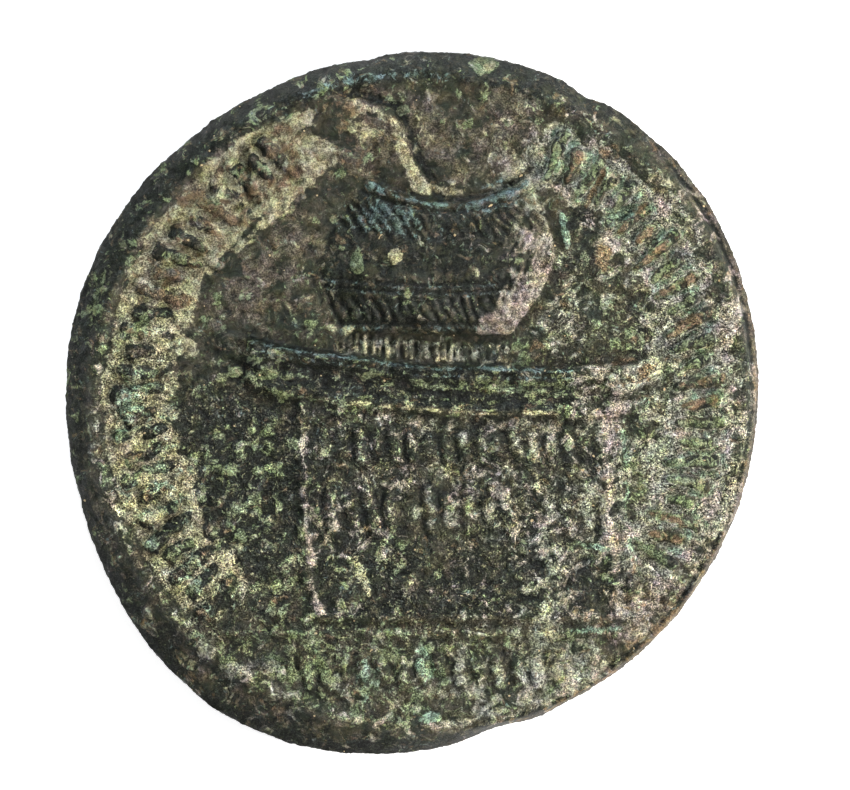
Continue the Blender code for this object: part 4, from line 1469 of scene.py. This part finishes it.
class Shader:
    """A material under construction."""

    def __init__(self, name: str) -> None:
        """Starts an empty material with its output node.

        Args:
            name: The material's name.
        """
        self.material = bpy.data.materials.new(name)
        self.material.use_nodes = True
        self.tree = self.material.node_tree
        self.tree.nodes.clear()

    def node(self, kind: str, settings: dict, inputs: dict, output: Union[str, int] = 0) -> Socket:
        """Adds a node.

        Args:
            kind: The node's type.
            settings: Its properties, such as operation.
            inputs: Values or sockets for its inputs, by name or number.
            output: Name or number of the output to use.

        Returns:
            The chosen output.
        """
        made = self.tree.nodes.new(kind)
        for key, value in settings.items():
            setattr(made, key, value)
        for key, value in inputs.items():
            if isinstance(value, Socket):
                self.tree.links.new(value.socket, made.inputs[key])
            else:
                made.inputs[key].default_value = value
        return Socket(self, made.outputs[output])

    def place(self) -> Socket:
        """Object coordinates."""
        return self.node("ShaderNodeTexCoord", {}, {}, "Object")

    def coat(self, layer: Layer) -> Socket:
        """How much of a coat the mesh carries."""
        return self.node("ShaderNodeAttribute", {"attribute_name": layer.value}, {}, "Fac")

    def noise(
        self,
        place: Socket,
        size: float,
        detail: float,
        rough: float = 0.5,
        bend: float = 0.0,
        output: str = "Fac",
    ) -> Socket:
        """Noise from 0 to 1.

        Args:
            place: The places.
            size: Size of the largest waves in millimetres.
            detail: How many finer sizes lie on them.
            rough: Strength of each finer size.
            bend: How far the pattern is warped.
            output: Fac for one number, Color for three.

        Returns:
            The noise.
        """
        inputs = {"Vector": place, "Scale": 1 / (size * MM), "Detail": detail, "Roughness": rough}
        inputs["Distortion"] = bend
        return self.node("ShaderNodeTexNoise", {}, inputs, output)

    def vector(self, operation: str, inputs: dict) -> Socket:
        """One Vector Math node."""
        return self.node("ShaderNodeVectorMath", {"operation": operation}, inputs)

    def bent(self, place: Socket, size: float, push: float) -> Socket:
        """Places pushed about by noise, so that patterns laid on them curl.

        Args:
            place: The places.
            size: Size of the bends in millimetres.
            push: How far they go, in millimetres.

        Returns:
            The pushed places.
        """
        sway = self.noise(place, size, 2.0, output="Color")
        far = (push * MM, push * MM, push * MM)
        return self.vector("MULTIPLY_ADD", {0: sway, 1: far, 2: place})

    def cells(self, place: Socket, size: float) -> Socket:
        """A tone from 0 to 1 for each cell of a broken pattern of that size in millimetres.

        Args:
            place: The places.
            size: Size of the cells in millimetres.

        Returns:
            The tone of each cell.
        """
        inputs = {"Vector": place, "Scale": 1 / (size * MM)}
        tone = self.node("ShaderNodeTexVoronoi", {}, inputs, "Color")
        return self.node("ShaderNodeSeparateColor", {}, {0: tone})

    def scaled(self, colour: Socket, factor: Value) -> Socket:
        """A colour made brighter or darker."""
        return self.vector("SCALE", {0: colour, "Scale": factor})

    def tinted(self, place: Socket, colour: Socket, size: float, swing: tuple) -> Socket:
        """Shifts the hue here and there.

        Args:
            place: The places.
            colour: The colour to shift.
            size: Largest size of the shifts in millimetres.
            swing: How much red, green and blue change.

        Returns:
            The shifted colour.
        """
        hue = self.noise(place, size, 5.0, 0.75, output="Color")
        level = tuple(1 - part / 2 for part in swing)
        shift = self.vector("MULTIPLY_ADD", {0: hue, 1: swing, 2: level})
        return self.vector("MULTIPLY", {0: colour, 1: shift})

    def step(self, value: Socket, low: float, high: float) -> Socket:
        """Rises smoothly from 0 at low to 1 at high."""
        settings = {"interpolation_type": "SMOOTHSTEP"}
        return self.node("ShaderNodeMapRange", settings, {0: value, 1: low, 2: high, 3: 0.0, 4: 1.0})

    def finish(self, body: Socket) -> None:
        """Sends the finished surface to the output node."""
        output = self.tree.nodes.new("ShaderNodeOutputMaterial")
        self.tree.links.new(body.socket, output.inputs["Surface"])

    def mix(self, factor: Value, below: Union[Socket, tuple], above: Union[Socket, tuple]) -> Socket:
        """Mixes two colours."""
        settings = {"data_type": "RGBA", "clamp_factor": True}
        return self.node("ShaderNodeMix", settings, {0: factor, 6: below, 7: above}, 2)


Colour = tuple[float, float, float, float]


@dataclass(frozen=True)
class Coat:
    """One coat of the patina: its two colours, how rough it is, and how ragged and soft its edge."""

    layer: Layer
    deep: Colour
    pale: Colour
    rough: float
    ragged: float
    size: float
    soft: float = 0.22


@dataclass(frozen=True)
class PatinaFinish:
    """The coin's patina: a near-black ground under sand, crumbs, verdigris and the rest."""

    green_black: Colour = (0.03, 0.036, 0.025, 1.0)
    brown: Colour = (0.08, 0.072, 0.048, 1.0)
    speck: Colour = (0.42, 0.42, 0.25, 1.0)
    moss: Colour = (0.15, 0.2, 0.1, 1.0)
    black: Colour = (0.006, 0.007, 0.006, 1.0)
    # colour of the painted glints
    glint: Colour = (0.8, 0.62, 0.35, 1.0)
    tint: tuple[float, float, float] = (0.56, 0.48, 1.35)
    coats: tuple = (
        Coat(Layer.WARM, (0.045, 0.04, 0.03, 1.0), (0.18, 0.155, 0.113, 1.0), 0.6, 1.7, 0.6),
        # near-black colour of dark patina and of the painted shade
        Coat(Layer.SOOT, (0.007, 0.009, 0.007, 1.0), (0.036, 0.04, 0.032, 1.0), 0.45, 1.5, 0.4),
        Coat(Layer.CRUMB, (0.055, 0.07, 0.038, 1.0), (0.27, 0.32, 0.18, 1.0), 0.75, 1.7, 0.28, 0.14),
        Coat(Layer.ASH, (0.13, 0.13, 0.105, 1.0), (0.48, 0.485, 0.37, 1.0), 0.8, 1.4, 0.45),
        # pinkish colour of patina and of painted warm light
        Coat(Layer.BLUSH, (0.11, 0.095, 0.08, 1.0), (0.53, 0.46, 0.39, 1.0), 0.65, 1.4, 0.45),
        Coat(Layer.SAND, (0.16, 0.14, 0.085, 1.0), (0.6, 0.58, 0.375, 1.0), 0.85, 1.5, 0.6, 0.18),
        Coat(Layer.VERDIGRIS, (0.08, 0.12, 0.085, 1.0), (0.36, 0.47, 0.33, 1.0), 0.8, 1.5, 0.3, 0.18),
        Coat(Layer.RUST, (0.06, 0.042, 0.026, 1.0), (0.27, 0.195, 0.115, 1.0), 0.7, 1.9, 0.4, 0.3),
        # painted bluish highlight colour, laid where the cool lamp catches edges
        Coat(Layer.STEEL, (0.026, 0.038, 0.036, 1.0), (0.18, 0.25, 0.225, 1.0), 0.4, 1.5, 0.22),
    )

    def build(self) -> bpy.types.Material:
        """Makes the material.

        Returns:
            The material.
        """
        shader = Shader("patinated_bronze")
        place = shader.place()
        bent = shader.bent(place, 0.8, 0.9)
        dust = shader.noise(place, 0.06, 1.0, 0.5)
        grit = shader.noise(place, 0.1, 2.0, 0.7)
        speck = shader.noise(bent, 0.22, 3.0, 0.65)
        mottle = shader.noise(bent, 0.6, 4.0, 0.6)
        drift = shader.noise(place, 2.4, 3.0, 0.6)
        plates = shader.cells(bent, 0.42)
        gritty = shader.coat(Layer.GRIT)
        fine = shader.step(dust * 0.5 + grit * 0.35 + speck * 0.15, 0.38, 0.62)
        colour = shader.mix(shader.step(mottle * 0.6 + drift * 0.4, 0.4, 0.6), self.green_black, self.brown)
        colour = shader.mix(shader.step(speck + mottle * 0.4, 0.8, 0.95), colour, self.moss)
        rough: Value = 0.5
        for coat in self.coats:
            pattern = shader.noise(bent, coat.size, 4.0, 0.6, 0.3)
            grown = shader.coat(coat.layer) + (pattern - 0.5) * coat.ragged * 1.4 + (plates - 0.5) * 0.3
            mask = shader.step(grown, 0.5 - coat.soft, 0.5 + coat.soft)
            shade = shader.step(fine * 0.3 + pattern * 0.45 + plates * 0.25, 0.22, 0.78)
            colour = shader.mix(mask, colour, shader.mix(shade, coat.deep, coat.pale))
            rough = mask * coat.rough + (1 - mask) * rough
        pale = shader.noise(bent, 0.15, 2.0, 0.6, 0.3)
        shown = shader.step(pale + (mottle - 0.5) * 0.6, 0.6, 0.74) * (gritty * 0.5 + 0.05)
        colour = shader.mix(shown, colour, self.speck)
        dark = shader.noise(bent, 0.19, 3.0, 0.65, 0.4)
        shown = shader.step(dark + (mottle - 0.5) * -0.4, 0.56, 0.68) * (gritty * 0.5 + 0.12)
        colour = shader.mix(shown, colour, self.black)
        # painted shade: hollows darkened towards black by their depth
        hollow = shader.coat(Layer.HOLLOW)
        colour = shader.mix(shader.step(hollow, 0.0, 1.1) * 0.5, colour, self.black)
        # painted micro-shade and highlight: the fine grain makes the colour darker and lighter, most where
        # specks are strong
        coarse = shader.step(mottle, 0.4, 0.6) * 0.5 + 0.75
        lit = (fine - 0.45) * (gritty * 1.3 + 0.34) * coarse + 1.04
        # painted highlight: places above their surroundings made brighter
        lit = lit * (shader.step(hollow, 0.2, -1.0) * 0.25 + 1.0)
        colour = shader.scaled(colour, lit)
        colour = shader.tinted(place, colour, 0.7, self.tint)
        # painted shade: thin dark lines along fine cracks, which the bump also sinks
        fold = shader.noise(bent, 0.5, 5.0, 0.65) - 0.5
        crease = shader.step(fold * fold, 0.0, 0.0003)
        colour = shader.scaled(colour, crease * 0.4 + 0.68)
        curl = shader.noise(bent, 0.26, 2.0, 0.6) - 0.5
        flake = shader.step(curl * curl, 0.0016, 0.0) * shader.step(speck, 0.35, 0.55)
        colour = shader.scaled(colour, flake * (gritty * 0.6 + 0.4) + 0.93)
        # painted glints: sparse tiny bright warm specks
        sparkle = shader.step(shader.noise(place, 0.2, 0.0, 0.5), 0.86, 0.88)
        colour = shader.mix(sparkle, colour, self.glint)
        relief = (grit * 0.5 + speck * 0.5) * (gritty * 1.25 + 0.35) * coarse + mottle * 0.4 + crease * 0.15
        settings = {"Strength": 1.0, "Distance": 0.1 * MM, "Height": relief}
        bump = shader.node("ShaderNodeBump", {}, settings, "Normal")
        inputs = {"Base Color": colour, "Roughness": rough, "Metallic": 0.05, "Normal": bump}
        inputs["Specular IOR Level"] = 0.25
        body = shader.node("ShaderNodeBsdfPrincipled", {}, inputs, "BSDF")
        shader.finish(body)
        return shader.material


@dataclass(frozen=True)
class FloorFinish:
    """A plain pale floor that shows almost no shadow."""

    colour: Colour = (0.9, 0.9, 0.9, 1.0)
    glow: float = 0.8
    white: Colour = (1.0, 1.0, 1.0, 1.0)
    rough: float = 0.9

    def build(self) -> bpy.types.Material:
        """Makes the material.

        Returns:
            The material.
        """
        shader = Shader("pale_floor")
        inputs = {
            "Base Color": self.colour,
            "Roughness": self.rough,
            "Emission Color": self.white,
            "Emission Strength": self.glow,
        }
        body = shader.node("ShaderNodeBsdfPrincipled", {}, inputs, "BSDF")
        shader.finish(body)
        return shader.material


# Studio


@dataclass(frozen=True)
class Lamp:
    """One soft area light, given by where it stands round the coin."""

    name: str
    azimuth: float
    elevation: float
    distance: float
    size: float
    power: float
    colour: tuple[float, float, float]

    def build(self) -> None:
        """Adds the light, turned to the coin."""
        data = bpy.data.lights.new(self.name, "AREA")
        data.shape = "DISK"
        data.size = self.size
        data.energy = self.power
        data.color = self.colour
        lamp = bpy.data.objects.new(self.name, data)
        flat = math.cos(math.radians(self.elevation)) * self.distance
        turn = math.radians(self.azimuth)
        lamp.location = (
            flat * math.cos(turn),
            flat * math.sin(turn),
            math.sin(math.radians(self.elevation)) * self.distance,
        )
        lamp.rotation_euler = Vector(lamp.location).to_track_quat("Z", "Y").to_euler()
        bpy.context.collection.objects.link(lamp)


@dataclass
class Studio:
    """Floor, lights, sky and the camera that looks straight down."""

    pixels_per_mm: float = 25.0
    image_width: int = 850
    camera_height: float = 0.36
    aim_x: float = 0.52
    aim_y: float = 0.32
    face_height: float = 2.2
    floor_size: float = 2.0
    floor_level: float = -0.00002
    sky: Colour = (0.95, 0.97, 1.0, 1.0)
    sky_strength: float = 0.15
    lamps: tuple = (
        Lamp("warm key", -12.0, 36.0, 0.16, 0.045, 0.23, (1.0, 0.95, 0.86)),
        Lamp("cool top", 95.0, 30.0, 0.3, 0.1, 0.4, (0.8, 0.92, 1.0)),
        Lamp("soft roof", 0.0, 89.0, 0.6, 0.5, 0.6, (1.0, 1.0, 1.0)),
    )

    def build(self) -> None:
        """Sets the studio up."""
        for lamp in self.lamps:
            lamp.build()
        self.build_floor()
        self.build_camera()
        world = bpy.data.worlds.new("studio")
        world.use_nodes = True
        sky = world.node_tree.nodes["Background"]
        sky.inputs["Color"].default_value = self.sky
        sky.inputs["Strength"].default_value = self.sky_strength
        bpy.context.scene.world = world
        bpy.context.scene.view_settings.view_transform = "Standard"
        bpy.context.scene.view_settings.look = "None"

    def build_floor(self) -> None:
        """Lays the floor under the coin."""
        bm = bmesh.new()
        bmesh.ops.create_grid(bm, x_segments=1, y_segments=1, size=self.floor_size)
        mesh = bpy.data.meshes.new("floor")
        bm.to_mesh(mesh)
        bm.free()
        floor = bpy.data.objects.new("floor", mesh)
        bpy.context.collection.objects.link(floor)
        mesh.materials.append(FloorFinish().build())
        floor.location.z = self.floor_level

    def build_camera(self) -> None:
        """Hangs the camera over the coin so that it fills the frame as in the photograph."""
        data = bpy.data.cameras.new("camera")
        wide = self.image_width / self.pixels_per_mm * MM
        data.sensor_width = 36.0
        data.lens = data.sensor_width * (self.camera_height - self.face_height * MM) / wide
        data.clip_start = 0.01
        data.clip_end = 20.0
        camera = bpy.data.objects.new("camera", data)
        camera.location = (self.aim_x * MM, self.aim_y * MM, self.camera_height)
        bpy.context.collection.objects.link(camera)
        bpy.context.scene.camera = camera


def main() -> None:
    """Builds the coin and its studio."""
    logging.basicConfig(level=logging.INFO, format="%(name)s: %(message)s")
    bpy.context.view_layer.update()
    outline = Outline()
    die = Die()
    altar = Altar(die)
    face = Sheet()
    forms: tuple[tuple[str, Callable[[Sheet], None]], ...] = (
        ("flan", FlanFace(outline, die).shape),
        ("stroke arcs", StrokeArcs(die).shape),
        ("altar", altar.shape),
        ("stroke rows", StrokeRows().shape),
        ("prize crown", PrizeCrown().shape),
        ("fringe", Fringe(altar).shape),
        ("plume", Plume().shape),
        ("weather", Weather(die).shape),
    )
    for name, shape in forms:
        shape(face)
        LOG.info("%s carved, height %.2f to %.2f mm", name, face.height.min(), face.height.max())
    back = Sheet()
    back_face = BackFace(die)
    back_face.shape(back)
    back_face.dress(back)
    coin = CoinMesh(outline).build(face, back)
    coin.data.materials.append(PatinaFinish().build())
    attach(coin, "root")
    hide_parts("coin")
    coin.data.calc_loop_triangles()
    LOG.info("struck_coin: %d triangles", len(coin.data.loop_triangles))
    Studio().build()


if __name__ == "__main__":
    main()
